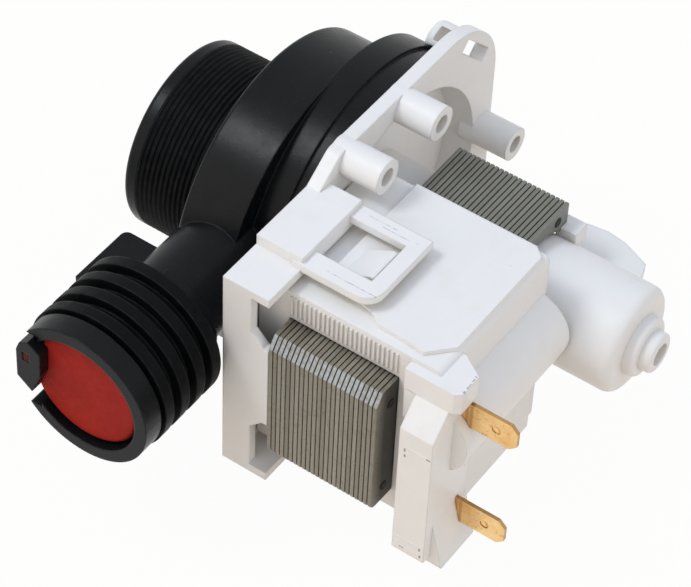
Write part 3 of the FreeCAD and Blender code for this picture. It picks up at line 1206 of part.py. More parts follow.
carrier_start = "cover_floor + end_gap + bearing_length + 2 * washer_gap + washer_thick"
sleeve_ring("front_thrust_washer", "cover_floor + end_gap + bearing_length + washer_gap", "washer_thick",
            "washer_radius", "shaft_radius + shaft_gap")
sleeve_ring("rear_thrust_washer", "rear_bearing_x - washer_gap - washer_thick", "washer_thick",
            "washer_radius", "shaft_radius + shaft_gap")
carrier = turned("carrier", [
    (carrier_start, "shaft_radius + press_gap"),
    (carrier_start, "carrier_neck"),
    ("magnet_start - carrier_flange_thick", "carrier_neck"),
    ("magnet_start - carrier_flange_thick", "carrier_flange"),
    ("magnet_start - press_gap", "carrier_flange"),
    ("magnet_start - press_gap", "carrier_radius"),
    ("magnet_start + magnet_length + carrier_tail", "carrier_radius"),
    ("magnet_start + magnet_length + 1.5 * carrier_tail", "carrier_neck_rear"),
    ("rear_bearing_x - 2 * washer_gap - washer_thick", "carrier_neck_rear"),
    ("rear_bearing_x - 2 * washer_gap - washer_thick", "shaft_radius + press_gap"),
])
finish("magnet_carrier", carrier)
sleeve_ring("rotor_magnet", "magnet_start", "magnet_length", "magnet_radius", "carrier_radius + press_gap")

cover_front = "-dish_depth - dish_floor - press_gap - cover_flange"
cover = turned("cover", [
    (cover_front, "shaft_radius + 4 * shaft_gap"),
    (cover_front, "cover_radius"),
    ("-dish_depth - dish_floor - press_gap", "cover_radius"),
    ("-dish_depth - dish_floor - press_gap", "can_bore - cover_gap"),
    ("cover_groove_start", "can_bore - cover_gap"),
    ("cover_groove_start", "can_bore - cover_gap - cover_groove_depth"),
    ("cover_groove_start + cover_groove", "can_bore - cover_gap - cover_groove_depth"),
    ("cover_groove_start + cover_groove", "can_bore - cover_gap"),
    ("cover_end", "can_bore - cover_gap"),
    ("cover_end", "cushion_radius + cushion_gap"),
    ("cover_floor", "cushion_radius + cushion_gap"),
    ("cover_floor", "shaft_radius + 4 * shaft_gap"),
])
finish("bearing_cover", cover)


def ring(name, x, section, outer):
    """Round-section ring whose outside touches a given radius."""
    thing = doc.addObject("Part::Torus", name)
    put(thing, (x, "0", "0"), TURNS["X"])
    tie(thing, "Radius1", "%s - %s" % (outer, section))
    tie(thing, "Radius2", section)
    return finish(name, thing)


ring("volute_seal_ring", "-dish_depth - dish_floor + spigot_lip + seal_groove / 2", "seal_radius",
     "spigot_radius + spigot_gap - seal_gap")
ring("bearing_cover_seal", "cover_groove_start + cover_groove / 2", "cover_seal_radius",
     "can_bore - seal_gap")

# Drive dog on the shaft and the impeller that it turns after some free play.

hub_rear = "-impeller_back - hub_floor"
hub_front = "-impeller_front + impeller_cap_thick"


def sector(name, start, length, outer, inner, middle):
    """Piece of a ring about the rotor axis, as wide as the dog's sector."""
    piece = doc.addObject("Part::Cylinder", name + "_wedge")
    put(piece, (start, "0", "0"))
    piece.Placement.Rotation = FreeCAD.Rotation(FreeCAD.Vector(1, 0, 0), middle - number("dog_sector") / 2
                                                ).multiply(TURNS["X"])
    tie(piece, "Radius", outer)
    tie(piece, "Height", length)
    tie(piece, "Angle", "dog_sector")
    bore = rod(name + "_bore", "X", (start + " - 1", "0", "0"), inner, length + " + 2")
    return cut(name, piece, [bore])


dog_start = "-impeller_front + impeller_cap_thick + dog_gap"
dog_length = "impeller_front - impeller_cap_thick - impeller_back - hub_floor - 2 * dog_gap"
dog_sleeve = rod("dog_sleeve", "X", (dog_start, "0", "0"), "dog_root", dog_length)
dog_lug = sector("dog_lug", dog_start, dog_length, "hub_bore - dog_gap", "(dog_root + shaft_radius) / 2", 0)
dog_bore = rod("dog_bore", "X", (dog_start + " - 1", "0", "0"),
               "shaft_radius + press_gap", dog_length + " + 2")
finish("drive_dog", cut("drive_dog", join("dog_solid", [dog_sleeve, dog_lug]), [dog_bore]))

impeller = turned("impeller_hub", [
    ("-impeller_back", "shaft_radius + shaft_gap"),
    ("-impeller_back", "impeller_radius"),
    ("-impeller_back - impeller_disc", "impeller_radius"),
    ("-impeller_back - impeller_disc", "hub_radius + hub_foot"),
    ("-impeller_back - impeller_disc - hub_foot", "hub_radius"),
    ("-impeller_front", "hub_radius - hub_taper"),
    ("-impeller_front", "hub_bore"),
    (hub_rear, "hub_bore"),
    (hub_rear, "shaft_radius + shaft_gap"),
])
blades = []
for index in range(int(number("blade_count"))):
    blade = doc.addObject("Part::Box", "blade_%d" % index)
    turn = FreeCAD.Rotation(FreeCAD.Vector(1, 0, 0), index * 360.0 / number("blade_count"))
    inner_end = FreeCAD.Vector(0, number("(hub_radius + hub_bore) / 2"), -number("blade_thick") / 2)
    shift = turn.multVec(inner_end)
    blade.Placement = FreeCAD.Placement(shift, turn)
    tie(blade, "Placement.Base.x", "-impeller_front + blade_drop")
    tie(blade, "Length", "impeller_front - impeller_back - blade_drop - impeller_disc / 2")
    tie(blade, "Width", "impeller_radius - blade_inset - (hub_radius + hub_bore) / 2")
    tie(blade, "Height", "blade_thick")
    blades.append(blade)
stop = sector("stop", "-impeller_front + impeller_cap_thick", dog_length + " + 2 * dog_gap + hub_floor / 2",
              "(hub_bore + hub_radius) / 2", "dog_root + dog_gap", 180)
finish("impeller", join("impeller", [impeller, stop] + blades))
cap_body = turned("cap_body", [
    ("-impeller_front", "0"),
    ("-impeller_front", "hub_bore - press_gap"),
    ("-impeller_front + impeller_cap_thick - press_gap", "hub_bore - press_gap"),
    ("-impeller_front + impeller_cap_thick - press_gap", "0"),
])
finish("impeller_cap", cap_body)

doc.recompute()

# Write every piece once all of them are sound.

for thing in doc.Objects:
    if "Invalid" in thing.State or "Error" in thing.State:
        raise ValueError("%s is not sound: %s" % (thing.Name, thing.State))
for name, thing in PIECES.items():
    if thing.Shape.isNull() or not thing.Shape.isValid():
        raise ValueError("%s has no valid shape" % name)

os.makedirs("parts", exist_ok=True)
for name, thing in PIECES.items():
    thing.Shape.exportStep("parts/%s.step" % name)
    print(name, len(thing.Shape.Solids), "solids", round(thing.Shape.Volume, 1), "mm3")
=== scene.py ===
import json
import math

import bmesh
import bpy
from mathutils import Matrix, Vector


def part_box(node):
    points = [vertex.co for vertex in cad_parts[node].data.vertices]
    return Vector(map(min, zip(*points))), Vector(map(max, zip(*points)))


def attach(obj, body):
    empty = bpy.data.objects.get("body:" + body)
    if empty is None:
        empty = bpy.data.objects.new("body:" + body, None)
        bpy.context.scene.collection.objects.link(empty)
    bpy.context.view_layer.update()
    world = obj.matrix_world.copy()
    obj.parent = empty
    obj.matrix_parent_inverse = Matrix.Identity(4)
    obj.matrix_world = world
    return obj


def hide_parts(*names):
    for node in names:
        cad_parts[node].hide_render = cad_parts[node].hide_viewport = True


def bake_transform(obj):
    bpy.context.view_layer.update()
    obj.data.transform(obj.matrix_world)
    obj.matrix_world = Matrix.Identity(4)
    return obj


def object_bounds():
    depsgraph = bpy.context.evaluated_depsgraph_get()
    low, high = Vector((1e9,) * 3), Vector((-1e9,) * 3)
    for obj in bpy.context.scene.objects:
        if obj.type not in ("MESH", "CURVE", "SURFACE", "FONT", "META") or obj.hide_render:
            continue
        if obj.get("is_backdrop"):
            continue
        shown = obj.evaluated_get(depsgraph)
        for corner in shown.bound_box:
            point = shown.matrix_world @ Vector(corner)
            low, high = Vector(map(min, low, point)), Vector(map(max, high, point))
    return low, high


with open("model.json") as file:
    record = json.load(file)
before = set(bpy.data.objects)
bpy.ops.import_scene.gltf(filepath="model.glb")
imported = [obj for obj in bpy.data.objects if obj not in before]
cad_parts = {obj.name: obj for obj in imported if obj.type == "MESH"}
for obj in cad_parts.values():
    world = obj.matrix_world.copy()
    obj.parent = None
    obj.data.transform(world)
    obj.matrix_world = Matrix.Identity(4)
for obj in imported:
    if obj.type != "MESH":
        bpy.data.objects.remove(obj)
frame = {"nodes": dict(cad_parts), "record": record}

# Sizes are in metres. The pump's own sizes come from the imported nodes.

MM = 0.001
nodes = frame["nodes"]
cad_low, cad_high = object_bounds()
core_low, core_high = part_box("stator_core")
housing_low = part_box("coil_housing")[0]
valve_low, valve_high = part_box("flap_valve")
root_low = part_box("flap_root")[0]

# Plates of the stator core and bends of the terminals, which their finishes follow too

PLATES = 24
PLATE_PITCH = 1.015 * MM
PLATE_GAUGE = 0.90 * MM
TERMINALS = ("terminal_upper", "terminal_lower")
TERMINAL_BENDS = (9.9 * MM, 10.8 * MM)

# Values that the shaders share: bands of noises and masks, samples, and how soft a mark ends

MIDDLE = (0.3, 0.7)
FULL = (0.0, 1.0)
FALLING = (1.0, 0.0)
EDGE_SAMPLES = 6
SHADE_SAMPLES = 5
EDGE_TURN = (0.88, 0.995)
SPECK_FADE = 1.3
SHARP = 0.05 * MM
BLURRED = 0.12 * MM


def feed(tree, socket, source):
    """Link a source to a socket, or set a plain value, with an alpha of one put on a colour."""
    if isinstance(source, bpy.types.NodeSocket):
        tree.links.new(source, socket)
    else:
        socket.default_value = (*source, 1) if socket.type == "RGBA" else source


def colour_mix(tree, factor, a, b):
    """Mix of two colours; a mix node keeps its colours in inputs 6 and 7 and in output 2."""
    node = tree.nodes.new("ShaderNodeMix")
    node.data_type = "RGBA"
    for number, source in ((0, factor), (6, a), (7, b)):
        feed(tree, node.inputs[number], source)
    return node.outputs[2]


class Shader:
    """Node tree of one material, with short calls for its nodes."""

    def __init__(self, name):
        self.material = bpy.data.materials.new(name)
        self.material.use_nodes = True
        self.tree = self.material.node_tree
        self.surface = self.tree.nodes["Principled BSDF"]
        self.place = self.add("ShaderNodeTexCoord").outputs["Object"]
        self.where = self.apart(self.place)
        self.facing = self.apart(self.add("ShaderNodeNewGeometry").outputs["True Normal"])

    def add(self, kind, **settings):
        node = self.tree.nodes.new(kind)
        for key, value in settings.items():
            setattr(node, key, value)
        return node

    def feed(self, socket, source):
        feed(self.tree, socket, source)

    def apart(self, vector):
        """X, Y and Z of a vector."""
        node = self.add("ShaderNodeSeparateXYZ")
        self.feed(node.inputs[0], vector)
        return node.outputs

    def math(self, operation, *values):
        node = self.add("ShaderNodeMath", operation=operation)
        for socket, value in zip(node.inputs, values):
            self.feed(socket, value)
        return node.outputs[0]

    def times(self, *factors):
        product = factors[0]
        for factor in factors[1:]:
            product = self.math("MULTIPLY", product, factor)
        return product

    def span(self, source, band, out=FULL):
        """Map a band of values onto another."""
        node = self.add("ShaderNodeMapRange")
        self.feed(node.inputs["Value"], source)
        for key, value in zip(("From Min", "From Max", "To Min", "To Max"), band + out):
            node.inputs[key].default_value = value
        return node.outputs[0]

    def moved(self, key, value):
        """Object coordinates with a location or a scale put on them."""
        mapping = self.add("ShaderNodeMapping")
        self.feed(mapping.inputs["Vector"], self.place)
        mapping.inputs[key].default_value = value
        return mapping.outputs[0]

    def noise(self, scale, detail, roughness, stretch=None):
        """Noise in object space; scale is in cycles per metre."""
        node = self.add("ShaderNodeTexNoise")
        self.feed(node.inputs["Vector"], self.moved("Scale", stretch) if stretch else self.place)
        node.inputs["Scale"].default_value = scale
        node.inputs["Detail"].default_value = detail
        node.inputs["Roughness"].default_value = roughness
        return node.outputs["Fac"]

    def cloud(self, scale, detail, roughness, band=MIDDLE, out=FULL):
        """Noise with a band of its values mapped onto another."""
        return self.span(self.noise(scale, detail, roughness), band, out)

    def blend(self, factor, a, b):
        return colour_mix(self.tree, factor, a, b)

    def paint(self, body, colour, *masks):
        """Body colour with another laid over it where every mask is up."""
        return self.blend(self.times(*masks), body, colour)

    def near(self, letter, middle, reach, soft):
        """One near a coordinate, nothing further off than the reach."""
        offset = self.math("ABSOLUTE", self.math("SUBTRACT", self.where[letter], middle))
        return self.span(offset, (reach, reach + soft), FALLING)

    def spot(self, centre, reach, soft):
        """Mask of a small box round a point."""
        return self.times(*[self.near(letter, middle, half, soft)
                            for letter, middle, half in zip("XYZ", centre, reach)])

    def spots(self, boxes, soft):
        """Mask of any of the boxes, each a centre and half sizes in millimetres."""
        total = None
        for centre, reach in boxes:
            mask = self.spot([value * MM for value in centre], [value * MM for value in reach], soft)
            total = mask if total is None else self.math("MAXIMUM", total, mask)
        return total

    def specks(self, scale, size, share, seed=0.0):
        """Sparse round specks, in a given share of the cells of a grid."""
        node = self.add("ShaderNodeTexVoronoi")
        self.feed(node.inputs["Vector"], self.moved("Location", (seed, seed, seed)))
        node.inputs["Scale"].default_value = scale
        disc = self.span(node.outputs["Distance"], (size, size * SPECK_FADE), FALLING)
        pick = self.add("ShaderNodeSeparateColor")
        self.feed(pick.inputs[0], node.outputs["Color"])
        return self.times(disc, self.math("LESS_THAN", pick.outputs[0], share))

    def shade(self, distance, band, most):
        """How far nearby walls close in on a point: a band of it, up to the most."""
        node = self.add("ShaderNodeAmbientOcclusion", samples=SHADE_SAMPLES)
        node.inputs["Distance"].default_value = distance
        return self.span(self.math("SUBTRACT", 1.0, node.outputs["AO"]), band, (0.0, most))

    def softened(self, radius):
        """Normal that rounds the edges."""
        node = self.add("ShaderNodeBevel", samples=EDGE_SAMPLES)
        node.inputs["Radius"].default_value = radius
        return node.outputs[0]

    def edges(self, radius):
        """Mask of outer and inner edges, where the softened normal leaves the shading one."""
        dot = self.add("ShaderNodeVectorMath", operation="DOT_PRODUCT")
        self.feed(dot.inputs[0], self.softened(radius))
        self.feed(dot.inputs[1], self.add("ShaderNodeNewGeometry").outputs["Normal"])
        return self.span(dot.outputs["Value"], EDGE_TURN, FALLING)

    def bump(self, height, distance, strength, edge=None):
        """Bump in metres, over softened edges where an edge radius is given."""
        node = self.add("ShaderNodeBump")
        node.inputs["Strength"].default_value = strength
        node.inputs["Distance"].default_value = distance
        self.feed(node.inputs["Height"], height)
        if edge:
            self.feed(node.inputs["Normal"], self.softened(edge))
        self.feed(self.surface.inputs["Normal"], node.outputs[0])

    def set(self, **values):
        """Give inputs of the surface; an underscore stands for a space."""
        for key, value in values.items():
            self.feed(self.surface.inputs[key.replace("_", " ")], value)


# Marks on the white moulding, each a centre and half sizes in millimetres

SCRATCHES = [
    ((20.6, -41.32, 26.9), (5.8, 0.07, 0.25)),
    ((16.4, -25.2, 26.9), (3.2, 0.05, 0.25)),
    ((19.8, -26.1, 26.9), (3.0, 0.05, 0.25)),
]
RIDGES = [
    ((43.8, -52.8, 6.6), (2.5, 0.4, 0.13)),
    ((43.4, -52.8, -19.5), (2.6, 0.4, 0.13)),
    ((44.5, -52.8, -21.7), (1.8, 0.4, 0.13)),
]
TICKS = [
    ((41.2, -52.8, 5.9), (0.15, 0.4, 0.42)),
    ((41.3, -52.8, 4.4), (0.15, 0.4, 0.32)),
    ((46.3, -52.8, 6.55), (0.38, 0.4, 0.17)),
    ((46.0, -52.8, -20.1), (0.15, 0.4, 0.33)),
    ((46.2, -52.8, -22.0), (0.15, 0.4, 0.30)),
    ((42.0, -52.8, -22.1), (0.45, 0.4, 0.14)),
    ((48.95, -46.6, 21.6), (0.14, 0.20, 0.3)),
    ((48.85, -44.9, 21.6), (0.04, 0.70, 0.3)),
    ((48.75, -43.2, 21.6), (0.04, 0.40, 0.3)),
    ((48.60, -42.3, 21.6), (0.18, 0.06, 0.3)),
]


def white_plastic():
    """White moulding with faint stains, painted shade in corners and crevices, specks, scratches and
    raised lines.
    """
    clean = (0.815, 0.808, 0.790), (0.850, 0.843, 0.828)
    stain = (0.72, 0.68, 0.60)
    crevice_shade = (0.62, 0.56, 0.46)
    coarse_speck = (0.12, 0.10, 0.08)
    fine_speck = (0.30, 0.25, 0.18)
    scratch = (0.24, 0.22, 0.20)
    raised = (0.93, 0.92, 0.90)
    dark = (0.10, 0.09, 0.07)

    s = Shader("white_plastic")
    body = s.blend(s.cloud(38, 4, 0.6), *clean)
    body = s.paint(body, stain, s.cloud(95, 5, 0.65, (0.56, 0.72)), 0.22)
    # Painted shade: a warm darkening where nearby walls close in, in corners and crevices.
    body = s.paint(body, crevice_shade, s.shade(5 * MM, (0.35, 1.0), 0.55))
    body = s.paint(body, coarse_speck, s.specks(150, 0.022, 0.16), 0.6)
    body = s.paint(body, fine_speck, s.specks(330, 0.035, 0.05, seed=3.0), 0.45)
    scratches = s.spots(SCRATCHES, SHARP)
    ridges = s.spots(RIDGES, BLURRED)
    ticks = s.spots(TICKS, BLURRED)
    broken = s.cloud(900, 3, 0.7, (0.38, 0.56))
    body = s.paint(body, scratch, scratches, broken, 0.55)
    body = s.paint(body, raised, ridges, 0.8)
    body = s.paint(body, dark, ticks, s.span(broken, FULL, (0.45, 0.80)))
    s.set(Base_Color=body, Roughness=s.cloud(900, 2, 0.5, (0.35, 0.65), (0.36, 0.50)))
    s.set(Subsurface_Weight=0.10, Subsurface_Scale=0.9 * MM, Subsurface_Radius=(1.0, 0.85, 0.7))
    s.set(Specular_IOR_Level=0.35)
    grain = s.math("ADD", s.noise(1400, 3, 0.6), s.times(s.noise(60, 2, 0.5), 2.0))
    relief = s.math("SUBTRACT", s.times(ridges, 6.0), s.times(scratches, 2.0))
    s.bump(s.math("ADD", grain, relief), 0.03 * MM, 0.6, edge=0.45 * MM)
    return s.material


def black_plastic():
    """Black moulding with dust on its upper sides and rubbed edges."""
    black = (0.0036, 0.0044, 0.0052), (0.0070, 0.0082, 0.0090)
    dust = (0.10, 0.10, 0.10)
    speck = (0.16, 0.15, 0.14)
    rubbed = (0.045, 0.048, 0.050)

    s = Shader("black_plastic")
    upward = s.span(s.facing["Z"], (0.1, 0.9))
    body = s.blend(s.cloud(55, 5, 0.65), *black)
    body = s.paint(body, dust, s.cloud(2300, 2, 0.5, (0.66, 0.76)), upward, 0.16)
    body = s.paint(body, speck, s.specks(260, 0.03, 0.10), 0.5)
    body = s.paint(body, rubbed, s.edges(0.35 * MM), s.cloud(700, 4, 0.7, (0.40, 0.62)), 0.55)
    s.set(Base_Color=body, Roughness=s.cloud(260, 4, 0.6, out=(0.24, 0.34)), Specular_IOR_Level=0.12)
    s.bump(s.noise(1700, 3, 0.6), 0.03 * MM, 0.7, edge=0.45 * MM)
    return s.material


def sleeve_rubber():
    """Black rubber with a faint bloom and dusty edges."""
    black = (0.0022, 0.0026, 0.0032), (0.0050, 0.0055, 0.0062)
    bloom = (0.06, 0.062, 0.06)
    dust = (0.085, 0.088, 0.085)

    s = Shader("sleeve_rubber")
    body = s.blend(s.cloud(70, 5, 0.65), *black)
    body = s.paint(body, bloom, s.cloud(420, 5, 0.7, (0.52, 0.70)), 0.06)
    patchy = s.cloud(500, 2, 0.5, (0.35, 0.65), (0.35, 1.0))
    body = s.paint(body, dust, s.edges(0.45 * MM), patchy, 0.26)
    s.set(Base_Color=body, Roughness=s.cloud(400, 4, 0.6, out=(0.38, 0.54)), Specular_IOR_Level=0.06)
    s.bump(s.noise(2200, 3, 0.6), 0.03 * MM, 0.7, edge=0.5 * MM)
    return s.material


def red_rubber(name="red_rubber", shade_share=0.0):
    """Red rubber, with a share of painted shade on it."""
    red = (0.265, 0.0110, 0.0068), (0.345, 0.0160, 0.0100)
    fine_speck = (0.55, 0.13, 0.09)
    coarse_speck = (0.60, 0.32, 0.26)
    recess_shade = (0.012, 0.010, 0.010)
    shade_spread = 0.1

    s = Shader(name)
    body = s.blend(s.cloud(120, 5, 0.6), *red)
    body = s.paint(body, fine_speck, s.cloud(3800, 2, 0.6, (0.64, 0.72)), 0.30)
    body = s.paint(body, coarse_speck, s.specks(420, 0.06, 0.10), 0.7)
    # Painted shade laid over the rubber, for the nib sunk in the clip's window.
    if shade_share:
        shares = (shade_share - shade_spread, shade_share + shade_spread)
        body = s.paint(body, recess_shade, s.cloud(500, 3, 0.6, out=shares))
    s.set(Base_Color=body, Roughness=s.cloud(500, 4, 0.6, out=(0.55, 0.72)), Specular_IOR_Level=0.12)
    s.bump(s.noise(2600, 4, 0.65), 0.08 * MM, 0.8, edge=0.3 * MM)
    return s.material


def lamination_steel():
    """Bare sheet: each plate has its own tone, with rust, a painted highlight on the chamfer, painted
    shade between the plates and near the housing, a painted shadow on the yoke's end faces and lighter
    smooth ends at the poles.
    """
    steel = (0.200, 0.182, 0.138), (0.330, 0.312, 0.255)
    rust = (0.17, 0.105, 0.060)
    scale_mark = (0.07, 0.066, 0.055)
    chamfer_highlight = (0.44, 0.49, 0.53)
    end_shadow = (0.030, 0.029, 0.026)
    smooth_end = (0.30, 0.29, 0.275)
    gap_shade = (0.018, 0.016, 0.013)
    overhang_shade = (0.030, 0.028, 0.024)
    cool = (0.165, 0.180, 0.165)

    s = Shader("lamination_steel")

    def beyond(first, last):
        """Nothing up to one distance from the core's outer face, and one past the other."""
        return s.span(s.where["Y"], (core_low.y + first * MM, core_low.y + last * MM))

    along = s.math("DIVIDE", s.math("SUBTRACT", s.where["X"], core_low.x), PLATE_PITCH)
    pick = s.add("ShaderNodeTexWhiteNoise", noise_dimensions="1D")
    s.feed(pick.inputs["W"], s.math("FLOOR", along))
    streak = s.noise(60, 5, 0.7, stretch=(30.0, 1.0, 1.0))
    tone = s.math("ADD", s.times(pick.outputs[0], 0.45), s.times(streak, 0.8))
    body = s.blend(s.span(tone, (0.30, 1.0)), *steel)
    body = s.paint(body, rust, s.cloud(330, 5, 0.7, (0.54, 0.70)), 0.45)
    body = s.paint(body, scale_mark, s.cloud(1500, 3, 0.6, (0.55, 0.68)), 0.35)
    # Painted highlight: the chamfer faces are lightened in broken streaks, as where they catch the
    # light.
    slanted = s.times(s.span(s.facing["Z"], (0.25, 0.5)), s.span(s.facing["Y"], (-0.6, -0.35), FALLING))
    body = s.paint(body, chamfer_highlight, slanted, s.cloud(1100, 3, 0.7, (0.35, 0.62), (0.15, 0.75)))
    end = s.span(s.facing["X"], (0.7, 0.9))
    past_yoke = beyond(14, 18)
    yoke = s.math("SUBTRACT", 1.0, past_yoke)
    # Painted shadow on the yoke's end faces, deepening away from their outer edge.
    body = s.paint(body, end_shadow, end, beyond(0.4, 3.0), yoke, 0.88)
    body = s.paint(body, smooth_end, end, past_yoke, 0.7)
    # Painted shade between the plates, where nearby walls close in.
    body = s.paint(body, gap_shade, s.shade(0.9 * MM, (0.12, 0.70), 0.92))
    # Painted shade on the stack near the coil housing's overhang.
    body = s.paint(body, overhang_shade, s.shade(5 * MM, (0.35, 0.80), 0.75))
    body = s.paint(body, cool, beyond(20, 24), 0.55)
    s.set(Base_Color=body, Metallic=0.35, Specular_IOR_Level=0.4)
    s.set(Roughness=s.span(streak, MIDDLE, (0.38, 0.55)))
    s.bump(s.math("ADD", s.times(streak, 0.5), s.noise(1500, 3, 0.6)), 0.03 * MM, 0.7)
    return s.material


def terminal_brass():
    """Brass: darker at the sheared edges, with painted shade over the bends at the root."""
    brass = (0.80, 0.47, 0.16), (0.96, 0.67, 0.32)
    stain = (0.42, 0.20, 0.07)
    sheared = (0.34, 0.18, 0.075)
    bend_shade = (0.38, 0.19, 0.07)
    bend_reach = (0.22 * MM, 2 * MM, 4 * MM)

    s = Shader("terminal_brass")
    mark = s.noise(700, 4, 0.6, stretch=(0.35, 1.0, 1.6))
    body = s.blend(s.cloud(170, 4, 0.65), *brass)
    body = s.paint(body, stain, s.cloud(900, 4, 0.7, (0.56, 0.68)), 0.5)
    body = s.paint(body, sheared, s.span(s.math("ABSOLUTE", s.facing["Y"]), (0.3, 0.6), FALLING), 0.75)
    # Painted shade in bands across the bends near the root.
    for name in TERMINALS:
        low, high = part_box(name)
        for back in TERMINAL_BENDS:
            centre = (high.x - back, (low.y + high.y) / 2, (low.z + high.z) / 2)
            body = s.paint(body, bend_shade, s.spot(centre, bend_reach, 0.25 * MM), 0.55)
    s.set(Base_Color=body, Metallic=0.9, Roughness=s.span(mark, MIDDLE, (0.24, 0.40)))
    s.bump(mark, 0.03 * MM, 0.6, edge=0.15 * MM)
    return s.material


def copper_wire():
    """Enamelled wire, with its turns as ridges along the limb."""
    copper = (0.34, 0.10, 0.035), (0.55, 0.20, 0.07)
    wire_pitch = 0.22 * MM

    s = Shader("copper_wire")
    turns = s.math("ABSOLUTE", s.math("SINE", s.times(s.where["Y"], math.pi / wire_pitch)))
    tone = s.noise(300, 3, 0.6)
    s.set(Base_Color=s.blend(s.span(tone, MIDDLE), *copper), Metallic=0.7)
    s.set(Roughness=s.span(tone, MIDDLE, (0.28, 0.42)))
    s.bump(turns, 0.08 * MM, 0.8)
    return s.material


def plain_metal(name, low, high, rough, grain):
    s = Shader(name)
    mark = s.noise(900, 4, 0.6, stretch=grain)
    s.set(Base_Color=s.blend(s.cloud(140, 4, 0.6), low, high), Metallic=1.0)
    s.set(Roughness=s.span(mark, MIDDLE, (rough - 0.08, rough + 0.1)))
    s.bump(mark, 0.02 * MM, 0.6, edge=0.12 * MM)
    return s.material


def plain_plastic(name, low, high, rough):
    s = Shader(name)
    s.set(Base_Color=s.blend(s.cloud(80, 4, 0.6), low, high))
    s.set(Roughness=s.cloud(700, 3, 0.6, out=(rough - 0.06, rough + 0.08)))
    s.bump(s.noise(1500, 3, 0.6), 0.03 * MM, 0.6, edge=0.2 * MM)
    return s.material


# Plain finishes: darkest and lightest colour, roughness, and for a metal the stretch of its grain

METALS = {
    "rivet_steel": ((0.020, 0.019, 0.017), (0.050, 0.047, 0.042), 0.5, (1.0, 1.0, 1.0)),
    "shaft_steel": ((0.52, 0.52, 0.52), (0.66, 0.66, 0.66), 0.2, (1.0, 8.0, 8.0)),
}
PLASTICS = {
    "bobbin_plastic": ((0.62, 0.60, 0.53), (0.70, 0.68, 0.61), 0.45),
    "bearing_carbon": ((0.025, 0.025, 0.026), (0.045, 0.045, 0.047), 0.35),
    "black_rubber": ((0.010, 0.010, 0.011), (0.020, 0.020, 0.021), 0.55),
    "washer_plastic": ((0.58, 0.56, 0.50), (0.66, 0.64, 0.58), 0.4),
    "ferrite": ((0.035, 0.035, 0.038), (0.06, 0.06, 0.064), 0.5),
    "cover_plastic": ((0.22, 0.22, 0.225), (0.28, 0.28, 0.285), 0.42),
    "impeller_plastic": ((0.05, 0.052, 0.058), (0.075, 0.078, 0.085), 0.4),
}
MADE = {
    "black_plastic": black_plastic(),
    "white_plastic": white_plastic(),
    "red_rubber": red_rubber(),
    # Red rubber with painted shade, for the nib in the clip's window.
    "shaded_rubber": red_rubber("shaded_rubber", 0.72),
    "sleeve_rubber": sleeve_rubber(),
    "lamination_steel": lamination_steel(),
    "terminal_brass": terminal_brass(),
    "copper_wire": copper_wire(),
}
for name, values in METALS.items():
    MADE[name] = plain_metal(name, *values)
for name, values in PLASTICS.items():
    MADE[name] = plain_plastic(name, *values)

for row in frame["record"]["subparts"]:
    materials = nodes[row["node"]].data.materials
    materials.clear()
    materials.append(MADE[row["material_slot"]])


def made_mesh(name, shape, smooth=False):
    """Mesh of a finished shape, with its faces turned outward."""
    bmesh.ops.recalc_face_normals(shape, faces=shape.faces)
    mesh = bpy.data.meshes.new(name)
    shape.to_mesh(mesh)
    shape.free()
    for face in mesh.polygons:
        face.use_smooth = smooth
    return mesh


def new_piece(name, mesh, slot, body, *stands_for, finish=None):
    """Piece of the scene, with its material, the nodes it replaces, and its body if it rides on one."""
    mesh.materials.append(MADE[finish or slot])
    piece = bpy.data.objects.new(name, mesh)
    bpy.context.scene.collection.objects.link(piece)
    if stands_for:
        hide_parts(*stands_for)
    if body:
        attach(piece, body)
    return piece


def circle(shape, radius, sides, place):
    """Ring of corners; place turns a corner's cosine and sine parts into a point."""
    ring = []
    for side in range(sides):
        angle = 2 * math.pi * side / sides
        ring.append(shape.verts.new(place(radius * math.cos(angle), radius * math.sin(angle))))
    return ring


def sew(shape, inner, outer):
    """Faces between two rings, of which the inner one may be a single point."""
    for side in range(len(outer)):
        after = (side + 1) % len(outer)
        corners = [inner[side % len(inner)], outer[side], outer[after], inner[after % len(inner)]]
        shape.faces.new(list(dict.fromkeys(corners)))


# Stator plates: a punched U whose poles follow the rotor's bore, one bevelled plate after another

STACK_DROP = 1.5 * MM
YOKE = 9.4 * MM
LIMB = 8.75 * MM
BORE = 12.2 * MM
BORE_STEPS = 16
LOW_CORNER = 1.5 * MM
CORNER_ANGLES = (0, math.pi / 6, math.pi / 3, math.pi / 2)
CHAMFER = (1.82 * MM, 2.62 * MM)
SPLAY = 1.2 * MM
SPLAY_FROM = -43 * MM
PUNCHED_EDGE = 0.17 * MM
PUNCHED_ANGLE = 60


def bore_arc(first, last):
    """Points on the bore between two angles in degrees."""
    points = []
    for step in range(BORE_STEPS + 1):
        angle = math.radians(first + (last - first) * step / BORE_STEPS)
        points.append((BORE * math.cos(angle), BORE * math.sin(angle)))
    return points


def plate_outline():
    outer = core_low.y
    top = core_high.z
    low = core_low.z - STACK_DROP
    tip = core_high.y
    slot = top - LIMB
    limb_angle = 180 - math.degrees(math.asin(slot / BORE))
    tip_angle = math.degrees(math.acos(tip / BORE))
    upper = [(outer + CHAMFER[0], top), (tip, top)] + bore_arc(tip_angle, limb_angle)
    inside = [(outer + YOKE, slot), (outer + YOKE, -slot)]
    lower = bore_arc(-limb_angle, -tip_angle) + [(tip, low)]
    corner = [(outer + LOW_CORNER * (1 - math.sin(angle)), low + LOW_CORNER * (1 - math.cos(angle)))
              for angle in CORNER_ANGLES]
    return upper + inside + lower + corner + [(outer, top - CHAMFER[1])]


def splay(index, y):
    """Rearward spread of a plate at the poles, where nothing clamps the stack."""
    along = min(1.0, max(0.0, (y - SPLAY_FROM) / (core_high.y - SPLAY_FROM)))
    return SPLAY * index / (PLATES - 1) * along


